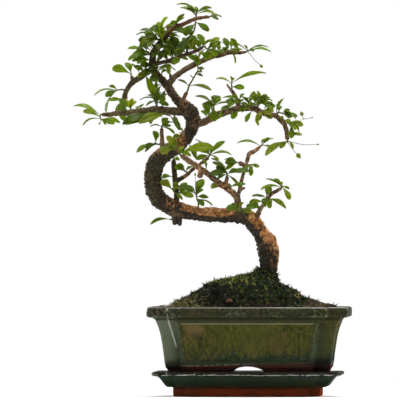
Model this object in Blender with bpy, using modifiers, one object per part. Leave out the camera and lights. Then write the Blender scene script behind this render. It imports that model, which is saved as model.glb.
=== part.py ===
"""Fukien tea bonsai: an S-shaped tree in a glazed oblong pot that stands on its saucer.

Metres, +Z up. The origin is on the floor under the middle of the pot, +X runs to the right
along the pot's long side and +Y away from its front. Tables and sizes are in millimetres and
are turned to metres when a mesh is made.
"""

import itertools
import math
from dataclasses import dataclass

import bmesh
import bpy
import numpy as np
from mathutils import Vector

MM = 0.001
GAP = 0.3
CLEAN_DISTANCE = 0.003 * MM

TRIANGLE_WAYS = (("BEAUTY", "BEAUTY"), ("SHORT_EDGE", "EAR_CLIP"), ("LONG_EDGE", "BEAUTY"))

# Pot: half sizes along X, with the half depth a fixed amount less
POT_DEPTH_LESS = 25.5
POT_FOOT_Z = 13.3
POT_UNDERSIDE_Z = 31.0
POT_FLOOR_Z = 37.0
POT_RIM_Z = 89.5
PANEL_BOTTOM_Z = 35.0
PANEL_TOP_Z = 72.0
PANEL_DEPTH = 1.2
DRAIN_X = 38.0
DRAIN_RADIUS = 7.0

# Saucer: it stands a little to the left of the pot's middle
SAUCER_SHIFT = -1.4
SAUCER_DEPTH_LESS = 26.5
SAUCER_FLOOR_Z = 13.0

# Planting
TREE_SHIFT = -1.1
TRUNK_FOOT = Vector((18.2 + TREE_SHIFT, 0.0, 88.0))
TRUNK_HOLE_RADIUS = 12.0
MOSS_THICKNESS = 3.0
MOSS_SEED = 7

# The tree's own picture plane is turned a little from the pot's front
TREE_TURN = math.radians(2.4)
# The depths in the tables below are spread by this much, for a head as full from the side
DEPTH_SPREAD = 1.7

# Leaves
BLADE_THICKNESS = 0.7
LEAF_SLENDERNESS = 0.36
LEAF_WIDEST = 11.0
LEAF_ARCH = 0.11
LEAF_SEED = 3
PETIOLE_WIDTH = 1.1
LEAF_STATIONS = (0.0, 0.25, 0.66, 1.0)
LEAF_OUTLINE = (0.0, 0.3, 1.0, 0.4)
LEAF_CLEARANCE = 2.3
OWN_LEAF_CLEARANCE = 1.3
STEM_RADIUS = 1.0

# Places along a leaf where its room is measured; its own spray's leaves count from the third on
LEAF_TEST_SHARES = (0.3, 0.38, 0.48, 0.58, 0.68, 0.78, 0.89, 1.0)
OWN_FIRST_SPOT = 10

# Limbs of the wood, each a run of (across, depth, height, width) in the tree's own frame:
# across to the right, depth away from the viewer. The trunk comes first.
LIMBS = {
    "trunk": [
        (18.2, 0, 88, 19), (18.2, 0, 104, 21), (18.4, 0, 114.5, 20.2), (19.6, 0, 124.5, 18.2),
        (20.2, 0.5, 132.5, 18.3), (20.7, 1, 140.5, 19.9), (19.7, 1.5, 147.5, 21),
        (18.2, 2, 153.5, 19.6), (13.7, 2.5, 160.5, 17), (7.6, 3, 169.5, 16.4),
        (1.0, 3.5, 177, 16.4), (-8, 4, 180.6, 15.2), (-20, 4.5, 180.8, 14.5),
        (-34, 5, 181, 14.5), (-49, 5, 182, 13.5), (-64, 5.5, 185, 15), (-76.5, 6, 188.5, 16),
        (-88, 6, 195.5, 17), (-94.5, 6, 205.5, 17.4), (-95.8, 5, 215.5, 17), (-95, 4, 225.5, 17),
        (-91.5, 2, 234.5, 17.5), (-83.5, 0, 242, 16), (-75, -1.5, 247.5, 15.5),
        (-67.5, -3, 252.8, 15), (-60.5, -4, 261, 14), (-56.5, -5, 269, 13.5),
        (-55.5, -5, 277, 15), (-58, -5, 283.5, 16), (-63, -4, 289.8, 12), (-70, -3, 295, 9.4),
        (-75, -2, 301, 8.4), (-79, -1, 307, 8), (-83, 0, 313, 8), (-89, 1, 319, 6.8),
        (-94, 2, 325, 6.6), (-96, 2, 331, 7.2), (-96, 2, 337, 6.4), (-94, 0, 345, 6),
        (-90, -2, 351, 5.5), (-85, -4, 357, 5), (-80, -5, 363, 4.6), (-75, -6, 368.2, 4),
        (-66, -7, 371.3, 3.5), (-60, -8, 374, 3.2), (-53, -9, 377, 3), (-45, -9, 378.5, 2.6),
        (-40, -9, 379, 2.2)],
    "left_low": [
        (-62, -4, 284, 7.4), (-75, -8, 285, 6.5), (-90, -13, 286.5, 6), (-100, -16, 286, 5.5),
        (-110, -18, 284.5, 5), (-118, -20, 283.2, 5.4), (-128, -21, 283, 4.5),
        (-138, -22, 281.5, 3.8), (-146, -23, 281.3, 2.6)],
    "left_low_spur": [(-115, -19, 283.5, 4.6), (-115.3, -19.5, 279.6, 4.4)],
    "top_right": [
        (-81, 0, 310, 6.4), (-75, 5, 318, 5.4), (-66, 9, 325, 4.6), (-58, 13, 330, 5),
        (-47.5, 16, 335, 5), (-37, 19, 340, 5), (-28, 21, 342, 5), (-20, 23, 344, 4),
        (-8, 25, 344, 3), (-3, 26, 344.5, 2.4)],
    "top_right_spur": [(-77.2, 3.5, 316, 3), (-78.3, 4, 322.5, 1.6)],
    "crown_right": [
        (-95, 2, 331, 4), (-90, -1, 333, 3.6), (-80, -6, 335, 3.2), (-72, -10, 338, 3),
        (-65, -13, 340.5, 3), (-57, -16, 343, 2.8), (-50, -18, 346, 2.5), (-46, -19, 348.4, 2.3)],
    "crown_left": [
        (-95, 2, 328, 6.4), (-104, 6, 322.3, 5.6), (-110, 10, 318, 5.4), (-117, 13, 313, 4.8),
        (-121.5, 15, 307, 4.2), (-123.6, 16, 301.5, 4.4), (-124, 16, 298, 5.4)],
    "crown_left_spur": [(-115, 12, 314.5, 3.8), (-117, 13, 319.5, 3)],
    "right": [
        (-57, -5, 271, 8), (-44.6, -8, 274, 7), (-35, -10, 278.5, 6.4), (-25.5, -12, 282.6, 6),
        (-11, -15, 287, 5.8), (2.3, -17, 288, 5.6), (8, -18, 286, 5.2), (17.6, -19, 281.8, 4.6),
        (27, -20, 280, 4.4), (34.8, -21, 272.5, 4), (37.7, -21, 265.4, 3.8), (38.7, -21, 257, 3.5)],
    "right_twig": [(-10.5, -15, 287, 4), (-11.5, -15, 295, 2.8), (-14, -14, 301.5, 2.6),
                   (-16, -13.4, 304.8, 2.4)],
    "right_twig_spur": [(-12.6, -14.6, 298, 2), (-21.4, -5, 311.4, 1.8)],
    "middle_twig": [(-66, -5, 291, 3.8), (-64.5, -9, 298, 3.2), (-62, -10.5, 303, 3)],
    "inner": [
        (-10, 4, 181, 7.4), (-10.5, -4, 190, 6), (-11.5, -8, 197.5, 5.8), (-15.5, -10, 203, 5.4),
        (-24, -12, 209.3, 6), (-31.7, -14, 214.8, 5.2), (-42.6, -16, 223.5, 4.8),
        (-53.5, -18, 231, 4.8), (-62, -20, 237, 4.4), (-66.5, -20.5, 240, 3.8)],
    "inner_up": [(-24, -12, 209.5, 4.4), (-22, -12, 215, 3.4), (-21.6, -12.5, 219, 3)],
    "inner_spur": [(-47.5, -16.8, 226.6, 4.4), (-48.5, -16.8, 219.5, 5)],
    "inner_right": [
        (-11.2, -7, 196, 4.4), (-9.5, -6, 204, 3.2), (-7, -4, 214.8, 2.8), (-4, -1, 227, 2.8),
        (-1.6, 1, 234, 2.8), (0.8, 3, 242, 3.8), (6, 5, 245, 3.6), (11, 6, 249, 2.6)],
    "inner_right_spur": [(-8.8, -5.5, 206, 2.4), (-4, -6, 208.3, 2)],
    "inner_right_knob": [(-3.2, 0, 230.4, 3.6), (-8.6, -2, 232.8, 4.2)],
    "inner_dark": [
        (-72, 6, 188, 5.8), (-72, 9, 197.5, 5), (-72.5, 11, 208, 4.6), (-74, 13, 221, 4.5),
        (-75, 14, 235.5, 4)],
    "inner_dark_twig": [
        (-73.3, 12, 214, 3.6), (-69.7, 12, 216.5, 4), (-62, 11, 221, 3.2), (-54.5, 9, 228, 2.8),
        (-47, 7, 233, 2.6), (-41, 5.5, 238, 3)],
    "low_right": [
        (7.5, 2, 177, 5.4), (10, -1, 183, 4.4), (11.7, -3, 187, 3.4), (15, -4.5, 191.5, 3),
        (18.2, -6, 196.3, 2.8), (23.6, -8, 202.8, 2.8), (29, -9, 205.5, 3), (32, -9.5, 207.5, 2.4)],
    "elbow_spur_left": [(-74, 6, 183, 6), (-73.6, 5, 172.6, 4.4)],
    "elbow_spur_right": [(-69, 6, 183, 5), (-68.6, 5, 171.2, 3.2)],
    "shoulder_twig": [
        (-84, -0.5, 245, 6.4), (-86.3, -3, 250, 3.8), (-86.5, -5, 259, 3.4), (-86.8, -6, 267, 2.8)],
}

# Leafy sprays: the limb each sits on, "end" or "side", its colour, the green stem's points
# (across, depth, height), then its leaves as (foot across, foot height, tip across, tip height,
# seen width, run in depth). A seen width below zero shows the leaf's underside.
SPRAYS = {
    "crown_tip": ("trunk", "end", "dark", [(-38, -9, 379.4)], [
        (-38.6, 379, -27, 379.6, 2.0, -6), (-38.6, 379, -31.6, 382.6, 2.8, 7)]),
    "crown_upright": ("trunk", "side", "bright", [(-52.5, -9, 380.5), (-51.5, -9, 385)], [
        (-53, 380, -68, 389.3, 4.2, 6), (-52, 384.5, -71.5, 392.4, 2.2, -6),
        (-52.5, 382, -52.4, 389.6, 5.0, 4), (-51.5, 384, -37, 388.8, 4.2, -4),
        (-51.5, 383.5, -35, 384.3, 1.6, 9), (-52.3, 382, -33, 382.4, 2.4, -9)]),
    "crown_hanging": ("trunk", "side", "dark", [(-53, -13, 373.5), (-54, -15, 366),
                                                (-57, -16, 360)], [
        (-53, 373.5, -39.5, 365, 7.4, -6), (-53.2, 372, -64.5, 361.5, 9.5, -7),
        (-56, 362.5, -71, 341, 10.0, -5), (-56.5, 361, -57.5, 347, 7.5, -9),
        (-57, 360, -49, 349, 5.5, 7)]),
    "crown_young": ("trunk", "side", "young", [(-87.5, -3.2, 361.5), (-86, -3, 368)], [
        (-87.3, 362, -82.2, 379.7, 4.2, -3), (-87, 364, -90, 371.4, 2.6, 4),
        (-86.6, 366, -86, 374, 3.0, -5)]),
    "crown_arched": ("trunk", "side", "dark", [(-81.5, -3.2, 367), (-81.6, -3, 369)], [
        (-81.6, 369, -70.8, 374.8, 6.0, -5), (-81.5, 368, -77, 370.6, 3.4, 8)]),
    "crown_left_fan": ("trunk", "side", "dark", [(-91.5, -6, 357.5), (-92.5, -7, 361)], [
        (-92.3, 361, -108.5, 366.8, 3.8, 5), (-92, 360, -112, 363, 2.0, 10),
        (-92, 359.5, -102.5, 362.3, 3.4, -5), (-91.8, 358.5, -109, 351.5, 6.5, -8),
        (-91.5, 357.5, -101, 349, 5.5, -13)]),
    "crown_left_low": ("trunk", "side", "dark", [(-99.5, 1, 342.5), (-102, 1, 344.5)], [
        (-102, 344.8, -121, 348.2, 4.5, 6), (-101, 344, -116, 342.5, 5.0, 2),
        (-100, 342.5, -120.5, 336.2, 5.0, -7), (-101, 344, -107, 354, 5.0, -8)]),
    "crown_core": ("trunk", "side", "dark", [(-89.5, -5, 345), (-87, -8, 344.5)], [
        (-87.5, 344.6, -80.5, 342, 6.5, -8), (-87, 345, -79, 349.5, 3.2, -4),
        (-88, 344.6, -81, 336.4, 5.5, -4), (-89, 345, -95.5, 339.5, 4.5, -8),
        (-88, 344.6, -88, 337, 5.0, -9)]),
    "crown_layers": ("trunk", "side", "dark", [(-78.5, -8, 358.5)], [
        (-78.8, 358.5, -71.2, 363.8, 2.4, -8), (-78.5, 358.5, -68.5, 359.6, 2.0, 6),
        (-79, 358.2, -69.5, 355.6, 3.2, -6), (-79, 358, -72.5, 352.5, 3.6, 9)]),
    "crown_star": ("crown_right", "end", "bright", [(-43.5, -20, 348.4), (-41, -20.5, 346.6)], [
        (-42.5, 347.6, -50.8, 361.5, 7.0, -6), (-41, 346.8, -29.5, 358.6, 7.0, 4),
        (-41, 346.6, -27.2, 349.4, 2.4, -7), (-41, 346.6, -41.5, 336, 8.0, -6),
        (-42, 347, -50.5, 338, 2.6, -4), (-41.5, 346.8, -36, 341.5, 5.0, -8)]),
    "crown_mass": ("crown_right", "side", "bright", [(-62, -15.5, 345), (-60, -16.5, 349)], [
        (-60, 349, -50.5, 355.5, 6.0, -6), (-60.3, 348, -62, 358, 6.0, 8),
        (-61, 346.5, -51, 348, 5.0, -9), (-61.5, 346, -70, 350, 4.0, 7)]),
    "crown_olive": ("crown_right", "side", "bright", [(-76, -7.8, 340), (-76.2, -8, 342.4)], [
        (-76, 342.4, -69.5, 347.7, 5.0, -7), (-76.2, 341.6, -80.5, 349.5, 3.5, 7),
        (-76, 340.4, -66.5, 342.4, 3.4, 6)]),
    "fork_tuft": ("trunk", "side", "dark", [(-92.5, -4.5, 323), (-91, -5, 329)], [
        (-91, 329, -72.5, 327, 1.6, 5), (-92, 324, -83, 327.2, 1.8, -6),
        (-92.5, 323, -98.8, 315.6, 3.6, -6), (-92, 325, -101, 321.5, 2.4, -8)]),
    "top_right_fan": ("top_right", "side", "bright", [(-18, 19.5, 345.4), (-17.3, 18, 347.8)], [
        (-17.3, 347.8, -18.2, 354.4, 6.0, -8), (-17.8, 346.4, -31, 343.2, 4.6, -6),
        (-17.5, 347, -9.2, 345, 3.6, -7), (-18, 345.6, -13, 333.4, 2.6, -6)]),
    "top_right_tip": ("top_right", "end", "dark", [(-0.5, 26, 345.8)], [
        (-1, 345.8, -25.8, 356, 1.6, 9), (-0.8, 346, 20, 350.6, 2.4, -8),
        (-0.8, 345.6, 23, 346, 3.4, 6), (-0.8, 345.6, -4, 352, 3.6, -5)]),
    "left_top_pair": ("crown_left_spur", "end", "bright", [(-117.6, 13, 322.8)], [
        (-117.6, 322.4, -136.3, 329.3, 9.5, -6), (-117.6, 322.8, -122.4, 334.4, 7.0, 5)]),
    "left_green_shoot": ("crown_left", "side", "bright", [(-127, 13, 306.8), (-131.8, 12, 306)], [
        (-131.8, 306.2, -155, 302.6, 2.0, 7), (-131, 306.2, -139.3, 311, 4.6, -8),
        (-131.8, 306, -143.4, 284.5, 2.0, -10)]),
    "left_knob_fan": ("crown_left", "end", "bright", [(-124.2, 15.5, 295)], [
        (-124.2, 295.4, -125.5, 276, 10.5, -9), (-124.2, 295.4, -140, 296.8, 5.2, 3),
        (-124.2, 295.6, -132.6, 284, 4.0, 8)]),
    "left_rise": ("left_low", "side", "young", [(-117.6, -19.5, 287.4)], [
        (-117.6, 287.2, -113.6, 295.4, 8.0, 9), (-117.6, 287.2, -124, 291, 5.0, -8)]),
    "left_end": ("left_low", "end", "bright", [(-148, -24, 279.4), (-147.2, -25, 276.4)], [
        (-147.9, 280, -174.6, 290.8, 4.6, 6), (-147.6, 278.4, -164.8, 286, 6.5, -6),
        (-147.4, 277, -165.4, 272.4, 1.6, 9), (-147.2, 276.6, -134, 272.6, 7.0, -8),
        (-147.2, 276.6, -128, 274.2, 5.5, 4)]),
    "left_big": ("left_low", "side", "bright", [(-98.5, -19.5, 282.2)], [
        (-98.5, 282.2, -125.4, 273, 8.5, -3), (-98.5, 282.2, -106, 277.5, 4.4, -9)]),
    "left_broad": ("left_low", "side", "bright", [(-82, -15, 281.2), (-79, -16, 280.4)], [
        (-81.8, 281, -108.5, 274.4, 9.5, -6), (-79, 280.4, -68.2, 266.4, 6.0, -5)]),
    "left_middle": ("left_low", "side", "dark", [(-91.5, -11.5, 290.6), (-92.5, -11, 296.5)], [
        (-92.3, 296.5, -89.8, 308.6, 5.4, -4), (-92.3, 295.6, -81.6, 302.4, 4.4, 6),
        (-92.3, 295, -102.4, 290.6, 3.6, -5), (-92.4, 296.4, -108.6, 296.8, 1.6, 7),
        (-92, 293.6, -79.8, 291, 5.6, -6), (-92.2, 294.6, -85.5, 296.6, 4.0, -9)]),
    "crown_left_hang": ("crown_left", "side", "bright", [(-104.4, 1.5, 322), (-103.4, 0, 326),
                                                         (-101.6, -1, 330)], [
        (-104.4, 322.4, -94.8, 300.6, 8.5, -6), (-103.4, 326, -114.6, 329.8, 5.6, -5),
        (-102, 329, -107.5, 335.5, 3.6, 6)]),
    "middle_spray": ("middle_twig", "end", "dark", [(-60.4, -11.6, 306.6), (-59.2, -12, 310.6),
                                                    (-55.4, -13, 317), (-50.6, -14, 325.4),
                                                    (-50.8, -14.3, 328.6)], [
        (-59.4, 310, -70.6, 316.4, 3.4, -6), (-59.4, 310, -37.2, 306.4, 4.6, -5),
        (-50.8, 328.6, -44.6, 326.8, 3.4, -6), (-55.8, 316.4, -58.2, 320.8, 1.8, 6)]),
    "right_near": ("right", "side", "dark", [(-34.4, -15, 284.4), (-34.8, -15.5, 290.6)], [
        (-34.6, 288, -34.4, 275, 10.5, -7), (-34.8, 290.6, -52.8, 300.5, 3.8, 6),
        (-34.8, 290.6, -31, 300.6, 11.0, 6), (-34.8, 290, -46.6, 292.2, 4.8, -7),
        (-34.8, 290.2, -15.5, 292.6, 3.0, -9), (-34.7, 289.6, -28.6, 297.5, 6.0, -8)]),
    "right_middle": ("right", "side", "dark", [(-8.4, -18.6, 290.4), (-9.4, -19, 296)], [
        (-9, 293.6, -23.4, 294.4, 5.2, -6), (-9.4, 295, -25.4, 299, 3.8, 6),
        (-9.4, 296, -17.4, 300.6, 4.6, -7), (-8.8, 292.4, -1.4, 291, 5.0, -8),
        (-8.6, 291, -6.2, 284, 5.0, -8), (-9.4, 296, -4.8, 303, 4.0, 6)]),
    "right_crest": ("right", "side", "dark", [(9.4, -18.6, 289.6), (10.8, -19, 293)], [
        (10.4, 292.4, 3.6, 301.6, 8.5, -6), (10.8, 293, 14.8, 299.8, 7.0, 8),
        (9.8, 291, -4.2, 298.8, 2.4, 7), (10.8, 293, 23.4, 296.4, 1.6, 6),
        (10.8, 293, 26.4, 289, 7.5, -8), (9.6, 290.4, -1.6, 291.6, 3.6, -8)]),
    "right_skirt": ("right", "side", "bright", [(13.8, -23, 284.4), (14.4, -24, 283)], [
        (13.8, 284.6, 24.8, 286.6, 7.0, -6), (13.8, 284.2, 8.6, 274.8, 7.0, -5),
        (14.4, 283, 23.6, 277.6, 6.5, -4)]),
    "right_stem": ("right", "side", "bright", [(29.8, -20, 283.8), (34.6, -21, 282)], [
        (30, 283.6, 29.4, 291.6, 7.5, 8), (34.6, 282, 48.6, 279.6, 5.0, -6),
        (34.4, 282, 41.2, 278.4, 4.0, -9), (34.6, 282, 47.4, 277.4, 1.8, 6)]),
    "right_corner": ("right", "side", "bright", [(35.6, -25.2, 275.6), (39, -25.6, 273),
                                                 (42, -25, 270.8)], [
        (36, 275.6, 41.6, 274, 5.0, -8), (36, 275.6, 30.6, 279, 5.0, -7),
        (41.6, 271, 42.4, 257.6, 7.0, -5), (42, 270.8, 50.8, 264.8, 2.0, 5),
        (41.8, 271, 46.8, 266.6, 4.0, -8)]),
    "right_end": ("right", "end", "bright", [(38.9, -21, 254.2)], [
        (38.9, 255, 71.6, 251.4, 1.8, 8), (38.9, 255, 16.4, 241, 8.0, -6),
        (38.9, 255, 44.5, 248, 3.0, -9)]),
    "right_twig_top": ("right_twig", "end", "bright", [(-16.8, -13, 308.6), (-17, -13, 312.6)], [
        (-17, 312.6, 17.6, 323.4, 5.0, -8), (-17, 312.4, -32.6, 318.2, 3.6, 6),
        (-17, 312.6, -14.6, 318.2, 4.0, -6), (-16.8, 308.8, -4.6, 308.4, 6.5, -6)]),
    "shoulder_tip": ("shoulder_twig", "end", "bright", [(-86.6, -6.3, 269.6)], [
        (-86.6, 269.2, -98, 270.6, 1.8, 6), (-86.6, 269.6, -73.6, 274.4, 2.2, -7),
        (-86.6, 269, -73.8, 262.8, 3.2, 5)]),
    "shoulder_low": ("shoulder_twig", "side", "dark", [(-90.2, -5, 251.6), (-93, -5.4, 252.8)], [
        (-93, 252.8, -93.4, 265.6, 7.8, 5), (-92.4, 252.4, -112, 244.6, 4.4, 6),
        (-91, 251.8, -103.6, 244.6, 3.2, -6)]),
    "inner_end": ("inner", "end", "bright", [(-69, -21, 242.4), (-74, -20, 247.6)], [
        (-69, 242.4, -36.4, 250.4, 10.0, -5), (-74, 247.6, -88.6, 245, 9.0, -3),
        (-73.6, 247.4, -81, 260.4, 7.0, 3), (-70.4, 244, -64.6, 249.4, 4.6, -7),
        (-69.4, 243, -57.6, 240.6, 4.6, -9)]),
    "inner_dark_end": ("inner_dark", "end", "bright", [(-75, 14.3, 238.6)], [
        (-75, 238, -69.4, 236.6, 5.0, -4), (-75, 238.6, -81, 247.6, 3.6, 12),
        (-75, 238.2, -69, 245, 3.0, 11)]),
    "inner_dark_star": ("inner_dark_twig", "end", "bright", [(-38.6, 5, 241.2)], [
        (-38.6, 241.2, -24, 255.5, 6.5, -4), (-38.6, 240.8, -16.8, 243, 4.4, 5),
        (-38.8, 241, -52.8, 257.3, 2.6, 7), (-39, 240.8, -52.4, 237.6, 6.0, -8),
        (-38.6, 241, -49, 247, 5.0, -5), (-38.4, 240.6, -30, 236.8, 2.4, 9)]),
    "inner_top": ("inner_up", "end", "dark", [(-21.8, -13, 223.4)], [
        (-22, 223, -38.6, 222.6, 7.4, -4), (-21.8, 223.4, -35.6, 235, 5.6, 5),
        (-21.8, 223.4, -37, 238, 1.6, -9), (-21.7, 222, 1.4, 226, 6.5, -5),
        (-21.7, 221.4, -8.8, 208.6, 4.2, -5), (-21.8, 221.6, -31, 217.6, 4.2, -7)]),
    "inner_knob_pair": ("inner_right_knob", "end", "dark", [(-11.2, -2.6, 233.6)], [
        (-11, 233.6, -24.4, 237.4, 2.8, 5), (-11, 233.4, -22.6, 226.8, 5.6, -4)]),
    "inner_right_tuft": ("inner_right", "side", "dark", [(1.2, -2.6, 231.4)], [
        (1.2, 231.4, 2.6, 220.6, 5.6, -4), (1.2, 231.4, 11, 230, 1.4, 5),
        (1.2, 231.4, -4.6, 224.6, 5.0, -7)]),
    "inner_right_tip": ("inner_right", "end", "bright", [(13.4, 6.4, 250.8)], [
        (12.6, 250.4, -11.2, 255, 3.6, 5), (13.4, 250.8, 24.8, 258.4, 3.0, 5),
        (13.4, 250.8, 24.2, 248.2, 3.0, -5), (13.4, 250.8, 15.4, 257.6, 3.6, -5)]),
    "elbow_right": ("inner", "side", "bright", [(-10.8, -8, 186.8), (-11, -9.5, 185)], [
        (-11, 185.4, -22.4, 189, 8.0, -3), (-11, 185.6, -16.6, 193.4, 5.0, -4),
        (-11, 185.4, 3, 185.6, 6.0, -4), (-10.8, 186.6, -5.6, 194.4, 4.4, -5)]),
    "inner_left_star": ("trunk", "side", "dark", [(-50, -1, 192.4), (-51.6, -3, 197.4),
                                                  (-52.4, -4, 201.6)], [
        (-52.4, 201.6, -70, 210.4, 6.4, 5), (-52.3, 201.2, -62.4, 212, 4.2, -5),
        (-52.2, 201, -46, 217.6, 10.5, -6), (-51.8, 199.4, -40.4, 199, 5.2, -6),
        (-51.6, 198, -44.8, 190.6, 6.2, -6), (-51.4, 197, -36, 190.8, 1.6, 6)]),
    "inner_far_left": ("inner_dark", "side", "bright", [(-74, 5.5, 203.6), (-75.4, 4, 205.6)], [
        (-75.4, 205.6, -87.8, 216, 9.5, -4), (-74, 203.8, -66, 196.6, 4.6, -7),
        (-74.4, 204.6, -68.8, 211, 4.0, -8)]),
    "inner_dark_mid": ("inner_dark_twig", "side", "bright", [(-63.4, 7.2, 224.6)], [
        (-63.4, 224.6, -73, 231.4, 8.0, -3), (-63.4, 224.6, -57, 230, 4.4, -5),
        (-63.4, 224.4, -71.8, 226.6, 2.0, 5)]),
    "low_right_first": ("low_right", "side", "dark", [(8.6, -3.4, 188.6)], [
        (8.6, 188.6, 1.4, 192.2, 2.0, -4)]),
    "low_right_middle": ("low_right", "side", "dark", [(17.8, -9.6, 196.6), (18, -10.5, 199)], [
        (17.9, 198.6, 3.6, 200.3, 3.8, -4), (18, 198.6, 21.6, 209.6, 8.5, -5),
        (17.9, 197.4, 37.8, 189, 5.8, -5), (17.8, 197, 21.6, 188, 6.4, -5)]),
    "low_right_tip": ("low_right", "end", "bright", [(33.4, -9.8, 209.4)], [
        (33, 209, 11.8, 207.2, 4.4, 5), (33.2, 209.2, 17.8, 218, 3.2, -6),
        (33.4, 209.2, 41.4, 196.8, 6.2, -5), (33.4, 209.4, 31.6, 215, 4.0, -5),
        (33.4, 209.2, 40.5, 207.6, 3.2, 7)]),
    "low_left": ("elbow_spur_left", "side", "dark", [(-77.8, 4.6, 176.6)], [
        (-77.8, 176.6, -98.2, 173, 4.2, -5)]),
}

# Small buds on thin stalks: the spray, the stalk's foot and the bud (across, depth, height)
BUDS = [
    ("top_right_tip", (-0.6, 26, 345.7), (12.8, 24, 330.6), 1.9),
    ("left_end", (-147.2, -25, 276.4), (-148.6, -29, 272.4), 1.3),
    ("right_corner", (42, -25, 270.8), (54.6, -24, 277), 0.8),
    ("right_corner", (54.6, -24, 277), (63, -23, 278.3), 0.9),
    ("right_corner", (54.6, -24, 277), (53, -25.5, 281.6), 2.4),
    ("right_end", (38.9, -21, 254.2), (49.4, -22, 240.6), 2.9),
    ("inner_left_star", (-52.4, -4, 201.6), (-53.4, -6.5, 221.4), 1.4),
]

SPRAY_COLOURS = {
    "dark": (0.045, 0.11, 0.012, 1.0),
    "bright": (0.13, 0.24, 0.02, 1.0),
    "young": (0.32, 0.30, 0.03, 1.0),
}

# Depth runs tried, in order, for a leaf that would cross another piece
RUN_CHANGES = (0, 2, -2, 4, -4, 6, -6, 8, -8, 11, -11, 14, -14, 17, -17)

UP = Vector((0, 0, 1))


def clear_scene():
    for obj in list(bpy.data.objects):
        bpy.data.objects.remove(obj, do_unlink=True)


def new_collection(name):
    collection = bpy.data.collections.new(name)
    bpy.context.scene.collection.children.link(collection)
    return collection


def material(name, colour, roughness, metallic=0.0):
    mat = bpy.data.materials.new(name)
    mat.use_nodes = True
    shader = mat.node_tree.nodes["Principled BSDF"]
    shader.inputs["Base Color"].default_value = colour
    shader.inputs["Roughness"].default_value = roughness
    shader.inputs["Metallic"].default_value = metallic
    mat.diffuse_color = colour
    return mat


def add_object(name, mesh, collection):
    obj = bpy.data.objects.new(name, mesh)
    collection.objects.link(obj)
    return obj


def finish(obj, mat, sharp_degrees=35):
    """Give a piece its material and smooth shading with sharp edges kept."""
    obj.data.materials.clear()
    obj.data.materials.append(mat)
    obj.data.shade_smooth()
    obj.data.set_sharp_from_angle(angle=math.radians(sharp_degrees))
    return obj


def mesh_from_bmesh(name, bm):
    bmesh.ops.recalc_face_normals(bm, faces=bm.faces)
    mesh = bpy.data.meshes.new(name)
    bm.to_mesh(mesh)
    bm.free()
    return mesh


def skin_rings(name, rings):
    """A closed loft: rings of equal point counts in millimetres, capped at both ends."""
    bm = bmesh.new()
    loops = [[bm.verts.new(Vector(point) * MM) for point in outline] for outline in rings]
    count = len(loops[0])
    for low, high in zip(loops, loops[1:]):
        for i in range(count):
            j = (i + 1) % count
            bm.faces.new((low[i], low[j], high[j], high[i]))
    bm.faces.new(loops[0][::-1])
    bm.faces.new(loops[-1])
    bmesh.ops.triangulate(bm, faces=[face for face in bm.faces if len(face.verts) > 4])
    return mesh_from_bmesh(name, bm)


def evaluated_mesh(obj):
    bpy.context.view_layer.update()
    graph = bpy.context.evaluated_depsgraph_get()
    return bpy.data.meshes.new_from_object(obj.evaluated_get(graph))


def remove_object(obj):
    bpy.data.objects.remove(obj, do_unlink=True)


def clean_mesh(mesh, quads, polygons):
    """Merge points that a Boolean left on top of each other and make every face a triangle."""
    bm = bmesh.new()
    bm.from_mesh(mesh)
    bmesh.ops.remove_doubles(bm, verts=bm.verts, dist=CLEAN_DISTANCE)
    bmesh.ops.dissolve_degenerate(bm, dist=CLEAN_DISTANCE, edges=bm.edges)
    loose = [edge for edge in bm.edges if not edge.link_faces]
    bmesh.ops.delete(bm, geom=loose, context="EDGES")
    bmesh.ops.triangulate(bm, faces=bm.faces, quad_method=quads, ngon_method=polygons)
    closed = all(len(edge.link_faces) == 2 for edge in bm.edges)
    bm.to_mesh(mesh)
    bm.free()
    return closed


def join_solids(base, others, operation="UNION"):
    """Boolean of one object with a collection of others, applied; the others are removed.

    Cutting faces into triangles can give two of them the same edge, so other ways to cut are
    tried, and then the manifold solver, until the surface is closed.
    """
    helpers = new_collection("helpers")
    for other in others:
        for owner in list(other.users_collection):
            owner.objects.unlink(other)
        helpers.objects.link(other)
        other.hide_render = True
        other.display_type = "WIRE"
    step = base.modifiers.new("join", "BOOLEAN")
    step.operation = operation
    step.operand_type = "COLLECTION"
    step.collection = helpers
    for solver, ways in itertools.product(("EXACT", "MANIFOLD"), TRIANGLE_WAYS):
        step.solver = solver
        mesh = evaluated_mesh(base)
        if clean_mesh(mesh, *ways):
            break
    base.modifiers.clear()
    base.data = mesh
    for other in others:
        remove_object(other)
    bpy.data.collections.remove(helpers)
    return base


def notched_outline(half_x, half_y, notch_x, notch_y, radius, long_steps=1, short_steps=1):
    """A rectangle with square notches at its corners, every corner rounded by two short chords.

    The four straight sides can be cut into steps.
    """
    quarter = [(half_x, half_y - notch_y), (half_x - notch_x, half_y - notch_y),
               (half_x - notch_x, half_y)]
    corners = []
    for sign_x, sign_y in ((1, 1), (-1, 1), (-1, -1), (1, -1)):
        turned = quarter if sign_x * sign_y > 0 else quarter[::-1]
        corners += [Vector((x * sign_x, y * sign_y)) for x, y in turned]
    points = []
    for i, corner in enumerate(corners):
        following = corners[(i + 1) % len(corners)]
        before = (corners[i - 1] - corner).normalized()
        after = (following - corner).normalized()
        middle = corner + (before + after) * radius * (1 - math.sqrt(0.5))
        start = corner + after * radius
        end = following - after * radius
        points += [corner + before * radius, middle, start]
        steps = 1
        if i % 3 == 2:
            steps = long_steps if abs(after.x) > abs(after.y) else short_steps
        points += [start.lerp(end, k / steps) for k in range(1, steps)]
    return [(point.x, point.y) for point in points]


def ring(z, half_x, depth_less, notch_x, notch_y, radius, shift=0.0):
    outline = notched_outline(half_x, half_x - depth_less, notch_x, notch_y, radius)
    return [(x + shift, y, z) for x, y in outline]


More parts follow.
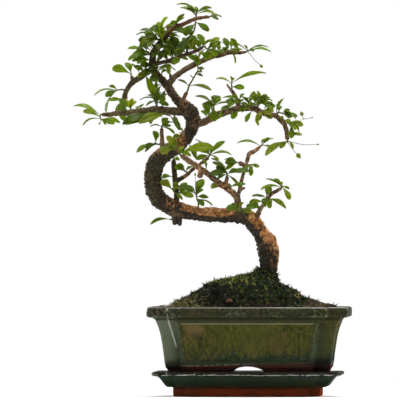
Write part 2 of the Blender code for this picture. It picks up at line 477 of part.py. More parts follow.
def pot_half(z):
    """Half length of the pot's glazed wall at a height; it flares into a cove under the lip."""
    heights = (29.0, 36.0, 50.0, 57.0, 64.0, 70.0, 75.0, 78.5)
    halves = (82.0, 83.0, 84.8, 85.8, 87.2, 89.0, 91.2, 93.4)
    return float(np.interp(z, heights, halves))


def pot_notch(z):
    """Size of the pot's corner notches at a height, along X and along Y."""
    heights = (13.0, 78.5)
    return float(np.interp(z, heights, (15.0, 18.5))), float(np.interp(z, heights, (10.5, 12.5)))


def pot_rings():
    """From the hollow under the floor out round the foot, up to the rim and down the inside."""
    rings = [ring(z, half, POT_DEPTH_LESS, 15.0, 10.5, 2.0)
             for z, half in ((POT_UNDERSIDE_Z, 71.0), (POT_FOOT_Z, 67.0))]
    for z, half in ((POT_FOOT_Z, 74.2), (POT_FOOT_Z + 0.9, 75.0), (28.4, 81.0)):
        rings.append(ring(z, half, POT_DEPTH_LESS, *pot_notch(z), 2.0))
    for z in (29.2, 36.0, 57.0, 68.0, 74.0, 78.5):
        rings.append(ring(z, pot_half(z), POT_DEPTH_LESS, *pot_notch(z), 2.4))
    lip = ((79.4, 99.6), (80.4, 100.5), (88.2, 100.5), (POT_RIM_Z, 99.4))
    for z, half in lip:
        rings.append(ring(z, half, POT_DEPTH_LESS, 20.5, 14.0, 2.6))
    rings.append(ring(POT_RIM_Z, 88.6, POT_DEPTH_LESS, 18.5, 12.5, 2.6))
    for z in (87.6, POT_FLOOR_Z):
        half = inner_half(z)
        rings.append(ring(z, half, POT_DEPTH_LESS, *pot_notch(z), 2.6))
    return rings


def inner_half(z):
    """Half length of the space inside the pot."""
    return float(np.interp(z, (POT_FLOOR_Z, 87.6), (77.2, 87.0)))


def arch_cutter(name, half_width, half_run, along_x, collection):
    """An arched tunnel under the pot's edge: a flat outline swept from side to side."""
    outline = [(-half_width - 6, POT_FOOT_Z - 2), (half_width + 6, POT_FOOT_Z - 2)]
    crown = POT_UNDERSIDE_Z - 0.6
    for k in range(7):
        angle = math.pi * k / 6
        outline.append((half_width * math.cos(angle), 20.0 + (crown - 20.0) * math.sin(angle)))
    near = [(s, -half_run, z) for s, z in outline]
    far = [(s, half_run, z) for s, z in outline]
    if along_x:
        near = [(y, x, z) for x, y, z in near]
        far = [(y, x, z) for x, y, z in far]
    return add_object(name, skin_rings(name, [near, far]), collection)


def panel_cutter(name, side, half_bottom, half_top, collection):
    """The slab that sinks one wall's panel; its inner face keeps to the wall's slope."""
    rings = []
    for z in (PANEL_BOTTOM_Z, 57.0, 68.0, PANEL_TOP_Z):
        share = (z - PANEL_BOTTOM_Z) / (PANEL_TOP_Z - PANEL_BOTTOM_Z)
        reach = half_bottom + (half_top - half_bottom) * share
        wall = pot_half(z) - (POT_DEPTH_LESS if side in ("front", "back") else 0.0)
        inner, outer = wall - PANEL_DEPTH, wall + 8.0
        corners = [(-reach, inner), (reach, inner), (reach, outer), (-reach, outer)]
        if side == "front":
            rings.append([(s, -d, z) for s, d in corners])
        elif side == "back":
            rings.append([(-s, d, z) for s, d in corners])
        elif side == "right":
            rings.append([(d, s, z) for s, d in corners])
        else:
            rings.append([(-d, -s, z) for s, d in corners])
    return add_object(name, skin_rings(name, rings), collection)


def drain_cutter(name, x, collection):
    bm = bmesh.new()
    bmesh.ops.create_cone(bm, cap_ends=True, segments=16, radius1=DRAIN_RADIUS * MM,
                          radius2=DRAIN_RADIUS * MM, depth=20 * MM)
    bmesh.ops.translate(bm, vec=Vector((x, 0, POT_FLOOR_Z)) * MM, verts=bm.verts)
    return add_object(name, mesh_from_bmesh(name, bm), collection)


def make_pot(parts):
    pot = add_object("pot", skin_rings("pot", pot_rings()), parts)
    tools = [
        arch_cutter("arch_long", 22.0, 80.0, False, parts),
        arch_cutter("arch_short", 16.0, 110.0, True, parts),
        panel_cutter("panel_front", "front", 61.0, 67.0, parts),
        panel_cutter("panel_back", "back", 61.0, 67.0, parts),
        panel_cutter("panel_right", "right", 40.0, 46.0, parts),
        panel_cutter("panel_left", "left", 40.0, 46.0, parts),
        drain_cutter("drain_left", -DRAIN_X, parts),
        drain_cutter("drain_right", DRAIN_X, parts)]
    join_solids(pot, tools, "DIFFERENCE")
    return finish(pot, material("olive_glaze", (0.06, 0.07, 0.03, 1), 0.25))


def make_saucer(parts):
    outer = ((0.0, 72.4, 12.0), (1.4, 73.7, 12.0), (9.5, 73.7, 12.0), (9.7, 79.0, 12.5),
             (11.4, 81.2, 12.5), (18.0, 86.2, 13.5), (20.3, 88.6, 14.0), (20.6, 93.4, 15.0),
             (21.4, 94.3, 15.0), (23.6, 93.6, 15.0))
    inner = ((23.2, 87.6, 14.0), (17.0, 82.4, 13.0), (SAUCER_FLOOR_Z, 78.4, 12.5))
    rings = [ring(z, half, SAUCER_DEPTH_LESS, notch, notch * 0.66, 2.4, SAUCER_SHIFT)
             for z, half, notch in outer + inner]
    saucer = add_object("saucer", skin_rings("saucer", rings), parts)
    return finish(saucer, material("dark_glaze", (0.02, 0.03, 0.025, 1), 0.2))


def make_drain_screen(name, x, parts):
    """A square of plastic net over one drainage hole."""
    bm = bmesh.new()
    cells = 5
    bmesh.ops.create_grid(bm, x_segments=cells, y_segments=cells, size=11 * MM)
    holes = []
    for face in bm.faces:
        centre = face.calc_center_median() / (22 * MM / cells)
        if round(centre.x) % 2 and round(centre.y) % 2:
            holes.append(face)
    bmesh.ops.delete(bm, geom=holes, context="FACES")
    bmesh.ops.translate(bm, vec=Vector((x, 0, POT_FLOOR_Z + GAP + 0.5)) * MM, verts=bm.verts)
    sheet = add_object(name, mesh_from_bmesh(name, bm), parts)
    thick = sheet.modifiers.new("thickness", "SOLIDIFY")
    thick.thickness = 1.0 * MM
    thick.offset = 0.0
    return finish(sheet, material("net_plastic", (0.02, 0.02, 0.02, 1), 0.6))


def mound_ridge(x):
    """Height of the planting's skyline from left to right."""
    return float(np.interp(
        x, (-88, -80, -70, -60, -50, -40, -33, -20, -12, 0, 9, 20, 30, 45, 54, 61, 70, 80, 88),
        (89.8, 92, 95.6, 100, 106, 112, 115.6, 117.4, 120.4, 121.6, 123.4, 120, 113, 107.4,
         100.4, 95.6, 93, 91, 89.8)))


def soil_top(x, y):
    """Height of the soil under the moss; it falls away to the pot's walls."""
    half_y = inner_half(POT_RIM_Z) - POT_DEPTH_LESS
    across = min(1.0, abs(y) / half_y)
    moss_cover = float(np.interp(x, (54, 62), (1.0, 0.0)))
    ridge = mound_ridge(x) - (MOSS_THICKNESS + GAP) * moss_cover
    edge = 85.6
    return edge + (ridge - edge) * (1 - across ** 2.6)


def planting_grid(rows):
    """Plan points from the pot's wall in to the trunk's hole, the same for soil and moss.

    The second row is the moss's own edge, which wanders and stops short at the right end.
    """
    outer = notched_outline(inner_half(85.6) - GAP, inner_half(85.6) - GAP - POT_DEPTH_LESS,
                            18.2, 12.2, 2.6, 5, 3)
    centre = Vector((TRUNK_FOOT.x, TRUNK_FOOT.y))
    grid = [[Vector(point) for point in outer]]
    for row in range(rows):
        points = []
        for i, point in enumerate(outer):
            point = Vector(point)
            away = point - centre
            hole = centre + away.normalized() * TRUNK_HOLE_RADIUS
            edge = 0.07 + 0.02 * math.sin(i * 1.7) + 0.015 * math.sin(i * 0.9 + 1)
            if point.x > 56:
                edge = 1 - (58.0 + 2.5 * math.sin(i * 2.1) - centre.x) / (point.x - centre.x)
            share = edge + (1 - edge) * row / (rows - 1)
            points.append(point.lerp(hole, share))
        grid.append(points)
    return grid


def make_soil(parts, grid):
    """The filling: side wall, floor, mound and the plain hole the trunk stands in."""
    rings = []
    half = inner_half(POT_FLOOR_Z + 1.6) - GAP
    outline = notched_outline(half, half - POT_DEPTH_LESS, *pot_notch(POT_FLOOR_Z), 2.6, 5, 3)
    rings.append([(x, y, POT_FLOOR_Z + 1.6) for x, y in outline])
    for plan in grid:
        rings.append([(p.x, p.y, soil_top(p.x, p.y)) for p in plan])
    rings.append([(p.x, p.y, TRUNK_FOOT.z - GAP) for p in grid[-1]])
    soil = add_object("soil", skin_rings("soil", rings), parts)
    return finish(soil, material("soil", (0.06, 0.035, 0.02, 1), 0.95))


def make_moss(parts, grid):
    """A lumpy carpet a hair above the mound, thin at its edge."""
    draw = np.random.default_rng(MOSS_SEED)
    under = [[(p.x, p.y, soil_top(p.x, p.y) + GAP) for p in plan] for plan in grid[1:]]
    over = []
    last = len(under) - 1
    for row, plan in enumerate(under):
        thin = 0.45 if row == 0 else 1.0
        lump = draw.uniform(-0.7, 0.7, len(plan)) if 0 < row < last else np.zeros(len(plan))
        over.append([(x, y, z + MOSS_THICKNESS * thin + lump[i]) for i, (x, y, z) in enumerate(plan)])
    rings = under + over[::-1]
    bm = bmesh.new()
    loops = [[bm.verts.new(Vector(point) * MM) for point in plan] for plan in rings]
    loops.append(loops[0])
    count = len(loops[0])
    for low, high in zip(loops, loops[1:]):
        for i in range(count):
            j = (i + 1) % count
            bm.faces.new((low[i], low[j], high[j], high[i]))
    moss = add_object("moss", mesh_from_bmesh("moss", bm), parts)
    return finish(moss, material("moss", (0.03, 0.05, 0.01, 1), 0.95), 80)


def spread(point):
    """A point of the tables with its depth spread."""
    return Vector((point[0], point[1] * DEPTH_SPREAD, point[2]))


def to_world(point):
    """Metres in the object's frame, from millimetres in the tree's own frame."""
    across, depth, height = point[0], point[1], point[2]
    x = across * math.cos(TREE_TURN) - depth * math.sin(TREE_TURN) + TREE_SHIFT
    y = across * math.sin(TREE_TURN) + depth * math.cos(TREE_TURN)
    return Vector((x, y, height)) * MM


def tube(name, points, radii, sides, collection):
    """A closed round tube along points of the tree's frame."""
    data = bpy.data.curves.new(name, "CURVE")
    data.dimensions = "3D"
    data.bevel_depth = MM
    data.bevel_resolution = (sides - 4) // 2
    data.use_fill_caps = True
    spline = data.splines.new("POLY")
    spline.points.add(len(points) - 1)
    for spot, point, radius in zip(spline.points, points, radii):
        spot.co = (*to_world(point), 1.0)
        spot.radius = radius
    curve = add_object(name, data, collection)
    mesh = evaluated_mesh(curve)
    bm = bmesh.new()
    bm.from_mesh(mesh)
    bmesh.ops.remove_doubles(bm, verts=bm.verts, dist=0.01 * MM)
    bmesh.ops.recalc_face_normals(bm, faces=bm.faces)
    bm.to_mesh(mesh)
    bm.free()
    solid = add_object(name, mesh, collection)
    solid.matrix_world = curve.matrix_world
    remove_object(curve)
    return solid


def limb_runs():
    """Every limb's centre line, as rows of across, depth, height and width."""
    return {name: [(*spread(row), row[3]) for row in points] for name, points in LIMBS.items()}


def make_wood(parts, runs):
    """Trunk, branches and twigs joined in one solid."""
    solids = []
    for name, run in runs.items():
        widest = max(row[3] for row in run)
        sides = 10 if name == "trunk" else (8 if widest > 7 else 6)
        solids.append(tube(name, [row[:3] for row in run], [row[3] / 2 for row in run], sides, parts))
    wood = join_solids(solids[0], solids[1:])
    wood.name = "wood"
    return finish(wood, material("bark", (0.13, 0.075, 0.045, 1), 0.85), 60)


def nearest_on_run(run, target):
    """Nearest place on a limb's centre line: the point, its radius and how far along it lies."""
    best = None
    for k in range(len(run) - 1):
        a, b = Vector(run[k][:3]), Vector(run[k + 1][:3])
        chord = b - a
        share = max(0.0, min(1.0, (target - a).dot(chord) / chord.length_squared))
        spot = a + chord * share
        distance = (target - spot).length
        if best is None or distance < best[0]:
            radius = (run[k][3] * (1 - share) + run[k + 1][3] * share) / 2
            best = (distance, spot, radius)
    return best[1], best[2]


def stem_points(runs, limb, seat, points):
    """A spray's stem: it starts a hair off its limb, square to it, and follows its points."""
    run = runs[limb]
    points = [spread(point) for point in points]
    first = points[0]
    if seat == "end":
        tip = Vector(run[-1][:3])
        out = (tip - Vector(run[-2][:3])).normalized()
        base = tip + out * GAP
    else:
        spot, radius = nearest_on_run(run, first)
        out = (first - spot).normalized()
        base = spot + out * (radius + GAP)
    return [base, base + out * 0.9] + points


def foot_on_stem(stem, across, height):
    """The point of a stem nearest to a place in the picture plane."""
    best = None
    for a, b in zip(stem[1:], stem[2:]):
        chord = Vector((b.x - a.x, b.z - a.z))
        length = max(chord.length_squared, 1e-9)
        share = max(0.0, min(1.0, Vector((across - a.x, height - a.z)).dot(chord) / length))
        spot = a.lerp(b, share)
        distance = math.hypot(spot.x - across, spot.z - height)
        if best is None or distance < best[0]:
            best = (distance, spot)
    return best[1]


@dataclass
class Leaf:
    """One blade in the tree's frame: its foot, its directions and its size."""
    foot: Vector
    along: Vector
    across: Vector
    normal: Vector
    length: float
    width: float
    arch: float

    def spot(self, share):
        """Place on the arched rib."""
        lift = self.arch * self.length * 4 * share * (1 - share)
        return self.foot + self.along * (self.length * share) + self.normal * lift

    def half_width(self, share):
        outline = float(np.interp(share, LEAF_STATIONS, LEAF_OUTLINE))
        return max(PETIOLE_WIDTH, outline * self.width) / 2

    def spots(self):
        """Places all over the blade, from near its foot to its tip."""
        rows = [self.spot(share) + self.across * (self.half_width(share) * side)
                for share in LEAF_TEST_SHARES for side in (-1.0, -0.5, 0.0, 0.5, 1.0)]
        return np.array(rows)


def make_leaf_shape(foot, tip, seen, arch):
    """A leaf from foot to tip, rolled until its face shows the width seen in the picture."""
    chord = tip - foot
    along = chord.normalized()
    rise = UP - along * UP.dot(along)
    if rise.length < 0.3:
        flat = Vector((math.copysign(1.0, -along.z * chord.x), 0, 0))
        rise = flat - along * flat.dot(along)
    rise.normalize()
    side = along.cross(rise)
    if side.y > 0:
        side = -side
    width = min(LEAF_WIDEST, max(seen, LEAF_SLENDERNESS * chord.length))
    shown = math.acos(min(1.0, max(0.0, seen - BLADE_THICKNESS) / width))
    broadside = math.atan2(side.y, rise.y)
    rolls = [broadside + turn for turn in (shown, -shown, math.pi + shown, math.pi - shown)]
    roll = max(rolls, key=lambda turn: math.cos(turn) + 0.05 * math.sin(turn))
    normal = rise * math.cos(roll) + side * math.sin(roll)
    return Leaf(foot, along, along.cross(normal), normal, chord.length, width, arch)


def distance_to_rods(spots, rods):
    """Least clearance of points from round rods (start, end, radius)."""
    start, chord, radius = rods
    reach = spots[:, None, :] - start[None]
    share = np.clip((reach * chord[None]).sum(2) / np.maximum((chord ** 2).sum(1), 1e-9), 0, 1)
    return float((np.linalg.norm(reach - chord[None] * share[..., None], axis=2) - radius).min())


def rods_from(runs):
    start, chord, radius = [], [], []
    for run in runs:
        for a, b in zip(run, run[1:]):
            start.append(a[:3])
            chord.append(np.array(b[:3]) - np.array(a[:3]))
            radius.append((a[3] + b[3]) / 4)
    return np.array(start), np.array(chord), np.array(radius)


def room_for(leaf, name, rods, placed):
    """Least distance of a leaf from wood, other stems and the leaves already placed."""
    spots = leaf.spots()
    room = min(distance_to_rods(spots, part) for part in rods)
    for owner, others in placed:
        if owner == name:
            near = spots[OWN_FIRST_SPOT:, None] - others[None, OWN_FIRST_SPOT:]
            slack = LEAF_CLEARANCE - OWN_LEAF_CLEARANCE
        else:
            near = spots[:, None] - others[None]
            slack = 0.0
        room = min(room, float(np.linalg.norm(near, axis=2).min()) + slack)
    return room, spots


def settle_leaves(runs):
    """Every spray's stem and leaves; a leaf that would cross another piece is bent in depth."""
    draw = np.random.default_rng(LEAF_SEED)
    wood = rods_from(runs.values())
    stems = {name: stem_points(runs, spec[0], spec[1], spec[3]) for name, spec in SPRAYS.items()}
    placed, settled = [], {}
    for name, spec in SPRAYS.items():
        others = [[(*point, 2 * STEM_RADIUS) for point in stem]
                  for other, stem in stems.items() if other != name]
        rods = (wood, rods_from(others))
        settled[name] = []
        for u0, z0, u1, z1, seen, run_in in spec[4]:
            foot = foot_on_stem(stems[name], u0, z0)
            arch = LEAF_ARCH * draw.uniform(0.8, 1.2)
            best = None
            for change in RUN_CHANGES:
                tip = Vector((u1, foot.y + run_in + change, z1))
                leaf = make_leaf_shape(foot, tip, seen, arch)
                room, spots = room_for(leaf, name, rods, placed)
                if best is None or room > best[0]:
                    best = (room, leaf, spots)
                if room >= LEAF_CLEARANCE:
                    break
            placed.append((name, best[2]))
            settled[name].append(best[1])
    return stems, settled


def make_leaf(name, leaf, root, collection):
    """One blade: flat sections along an arched rib, from its root in the stem to a blunt tip."""
    rings = []
    for share in LEAF_STATIONS:
        middle = leaf.spot(share)
        if share == 0.0:
            middle = middle + leaf.along * root
        half = leaf.across * leaf.half_width(share)
        thick = leaf.normal * (BLADE_THICKNESS / 2)
        corners = (middle + half + thick, middle - half + thick,
                   middle - half - thick, middle + half - thick)
        rings.append([to_world(corner) / MM for corner in corners])
    return add_object(name, skin_rings(name, rings), collection)


def make_bud(name, start, spot, size, collection):
    """A bud and its thin stalk."""
    start, spot = spread(start), spread(spot)
    stalk = tube(name + "_stalk", [start, spot], [0.45, 0.45], 6, collection)
    bm = bmesh.new()
    bmesh.ops.create_icosphere(bm, subdivisions=1, radius=size * MM)
    bmesh.ops.translate(bm, vec=to_world(spot), verts=bm.verts)
    return [stalk, add_object(name, mesh_from_bmesh(name, bm), collection)]


def make_spray(name, stem, leaves, mat, parts):
    """A stem that runs a little past its last leaves, its leaves and its buds as one solid."""
    shoot = stem + [stem[-1] + (stem[-1] - stem[-2]).normalized() * STEM_RADIUS]
    radii = [STEM_RADIUS] * (len(shoot) - 1) + [STEM_RADIUS * 0.7]
    node = "spray_" + name
    body = tube(node, shoot, radii, 6, parts)
    extras = [make_leaf(f"{node}_leaf_{i}", leaf, 0.2 + 0.06 * i, parts)
              for i, leaf in enumerate(leaves)]
    for i, (owner, start, spot, size) in enumerate(BUDS):
        if owner == name:
            extras += make_bud(f"{node}_bud_{i}", start, spot, size, parts)
    join_solids(body, extras)
    body.name = node
    return finish(body, mat, 50)


def main():
    clear_scene()
    parts = new_collection("fukien_tea_bonsai")
    make_saucer(parts)
    make_pot(parts)
    make_drain_screen("drain_screen_left", -DRAIN_X, parts)
    make_drain_screen("drain_screen_right", DRAIN_X, parts)
    grid = planting_grid(5)
    make_soil(parts, grid)
    make_moss(parts, grid)
    runs = limb_runs()
    make_wood(parts, runs)
    leaf_materials = {tone: material("leaf_" + tone, colour, 0.4)
                      for tone, colour in SPRAY_COLOURS.items()}
    stems, settled = settle_leaves(runs)
    for name, spec in SPRAYS.items():
        make_spray(name, stems[name], settled[name], leaf_materials[spec[2]], parts)


main()
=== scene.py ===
"""Fukien tea bonsai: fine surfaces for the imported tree, its planting, its pot and its saucer.

Metres, +Z up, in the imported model's frame. Tables and sizes are in millimetres and are turned to
metres when a mesh is made.
"""

import math
from dataclasses import dataclass, field

import bmesh
import bpy
import numpy as np
from bpy.props import FloatProperty, FloatVectorProperty, PointerProperty
from mathutils import Matrix, Vector, kdtree, noise


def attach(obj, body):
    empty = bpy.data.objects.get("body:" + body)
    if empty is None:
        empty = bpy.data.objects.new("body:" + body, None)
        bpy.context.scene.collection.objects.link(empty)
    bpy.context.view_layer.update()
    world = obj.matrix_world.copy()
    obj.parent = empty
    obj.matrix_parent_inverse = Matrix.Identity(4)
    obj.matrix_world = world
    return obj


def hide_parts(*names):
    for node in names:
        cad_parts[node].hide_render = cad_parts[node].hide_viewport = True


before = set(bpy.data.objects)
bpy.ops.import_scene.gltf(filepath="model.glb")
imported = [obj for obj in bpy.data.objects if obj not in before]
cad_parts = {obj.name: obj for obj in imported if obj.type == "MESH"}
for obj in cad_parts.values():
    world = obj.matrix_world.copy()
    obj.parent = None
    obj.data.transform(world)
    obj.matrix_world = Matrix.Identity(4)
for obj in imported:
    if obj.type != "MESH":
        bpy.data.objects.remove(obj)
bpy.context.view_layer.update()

bl_info = {
    "name": "Fukien Tea Bonsai",
    "version": (1, 0, 0),
    "blender": (4, 5, 0),
    "location": "View3D > Sidebar > Bonsai",
    "description": "A small S-shaped bonsai tree in a glazed pot with its saucer",
    "category": "Object",
}

MM = 0.001
GAP = 0.3
UP = Vector((0, 0, 1))
FULL_TURN = 6.28

# Pot: half sizes along X, with the half depth a fixed amount less
POT_DEPTH_LESS = 25.5
POT_FOOT_Z = 13.3
POT_UNDERSIDE_Z = 31.0
POT_FLOOR_Z = 37.0
POT_RIM_Z = 89.5
PANEL_BOTTOM_Z = 35.0
PANEL_TOP_Z = 72.0
PANEL_DEPTH = 1.2
# Half widths of the panels on the long and the short walls at their lower edge, and how much
# they gain up to their upper edge
PANEL_REACH = (61.0, 40.0)
PANEL_SPLAY = 6.0
# Half widths of the arches in the long and the short walls, and of the closely divided part
# of each wall round them
ARCH_HALF = (19.5, 16.0)
ARCH_SPAN = (30.0, 22.5)
ARCH_STEP = 1.5
ARCH_SPRING_Z = 20.0
ARCH_RISE = 10.2
ARCH_SLOPE = 1.45
# The corner notches along the long and the short walls, at two heights, and under the lip
NOTCH_HEIGHTS = (13.0, 78.5)
NOTCH_LONG = (15.0, 18.5)
NOTCH_SHORT = (10.5, 12.5)
LIP_NOTCH = (2.0, 1.5)
LIP_START_Z = 78.0
LIP_FULL_Z = 79.6
DRAIN_X = 38.0
DRAIN_RADIUS = 7.0
POT_CORNER = 2.4
HOLLOW_CORNER = 2.0
HOLLOW_NOTCH = (15.0, 10.5)

# Saucer: it stands a little to the left of the pot's middle
SAUCER_SHIFT = -1.4
SAUCER_DEPTH_LESS = 26.5
SAUCER_NOTCH_SHARE = 0.66
SAUCER_REACH = (50, 34)

# Stage, in metres. The camera is level and stands far off, so that the picture is nearly square
# on everywhere.
CAMERA_DISTANCE = 12.0
CAMERA_SHIFT = -0.0496
CAMERA_HEIGHT = 0.1961
LENS_PER_METRE = 90.0
FLOOR_RADIUS = 0.6
LIGHT_TARGET = Vector((0.0, 0.0, 0.2))
# Soft lights: name, place, size, power and whether the glaze mirrors them
LIGHTS = [
    ("light_back_right", (1.4, 1.5, 0.55), 1.0, 58, False),
    ("light_back_left", (-1.5, 1.4, 0.6), 1.0, 48, True),
    ("light_top", (0.1, 0.1, 2.0), 1.6, 54, True),
    ("light_right", (2.0, -0.6, 1.1), 0.8, 18, False),
    ("light_front", (-1.7, -1.9, 0.9), 1.0, 14, True),
]

# Planting
TREE_SHIFT = -1.1
TRUNK_FOOT = Vector((18.2 + TREE_SHIFT, 0.0, 88.0))
SOIL_FOOT_Z = POT_FLOOR_Z + 1.6
SOIL_EDGE_Z = 85.6
SOIL_ROWS = 34
SOIL_HOLE = 8.0
SOIL_NOTCH = (18.2, 12.2)
SOIL_CORNER = 2.6
SOIL_REACH = (58, 38)
SOIL_ARC = 4
CRUMBS_PER_AREA = 190000.0
MOSS_THICKNESS = 3.0
MOSS_ROWS = 64
MOSS_HOLE = 9.5
MOSS_BORDER_X = 59.0
MOSS_ENDS_X = 57
SHOOTS_PER_AREA = 480000.0

# The tree's own picture plane is turned a little from the pot's front
TREE_TURN = math.radians(2.4)
DEPTH_SPREAD = 1.7

# Leaves
BLADE_THICKNESS = 0.7
LEAF_SLENDERNESS = 0.36
LEAF_WIDEST = 11.0
LEAF_ARCH = 0.11
LEAF_SEED = 3
PETIOLE_WIDTH = 1.1
LEAF_STATIONS = (0.0, 0.25, 0.66, 1.0)
LEAF_OUTLINE = (0.0, 0.3, 1.0, 0.4)
LEAF_CLEARANCE = 2.3
OWN_LEAF_CLEARANCE = 1.3
STEM_RADIUS = 1.0
STEM_TIP_RADIUS = 0.62
STEM_SIDES = 8
DOME_HEIGHT = 0.45
DOME_WIDTH = 0.6
LEAF_TEST_SHARES = (0.3, 0.38, 0.48, 0.58, 0.68, 0.78, 0.89, 1.0)
OWN_FIRST_SPOT = 10
RUN_CHANGES = (0, 2, -2, 4, -4, 6, -6, 8, -8, 11, -11, 14, -14, 17, -17)

# Places along a fine blade and its half width there, as shares: a blunt tip with small teeth
BLADE_STATIONS = (0.0, 0.07, 0.16, 0.26, 0.37, 0.48, 0.58, 0.67, 0.745, 0.76, 0.83, 0.845, 0.905,
                  0.92, 0.965, 1.0)
BLADE_OUTLINE = (0.0, 0.06, 0.14, 0.32, 0.55, 0.76, 0.91, 0.99, 1.01, 0.95, 0.93, 0.86, 0.79,
                 0.70, 0.48, 0.12)
BLADE_COLUMNS = (-1.0, -0.72, -0.4, -0.1, 0.0, 0.1, 0.4, 0.72, 1.0)

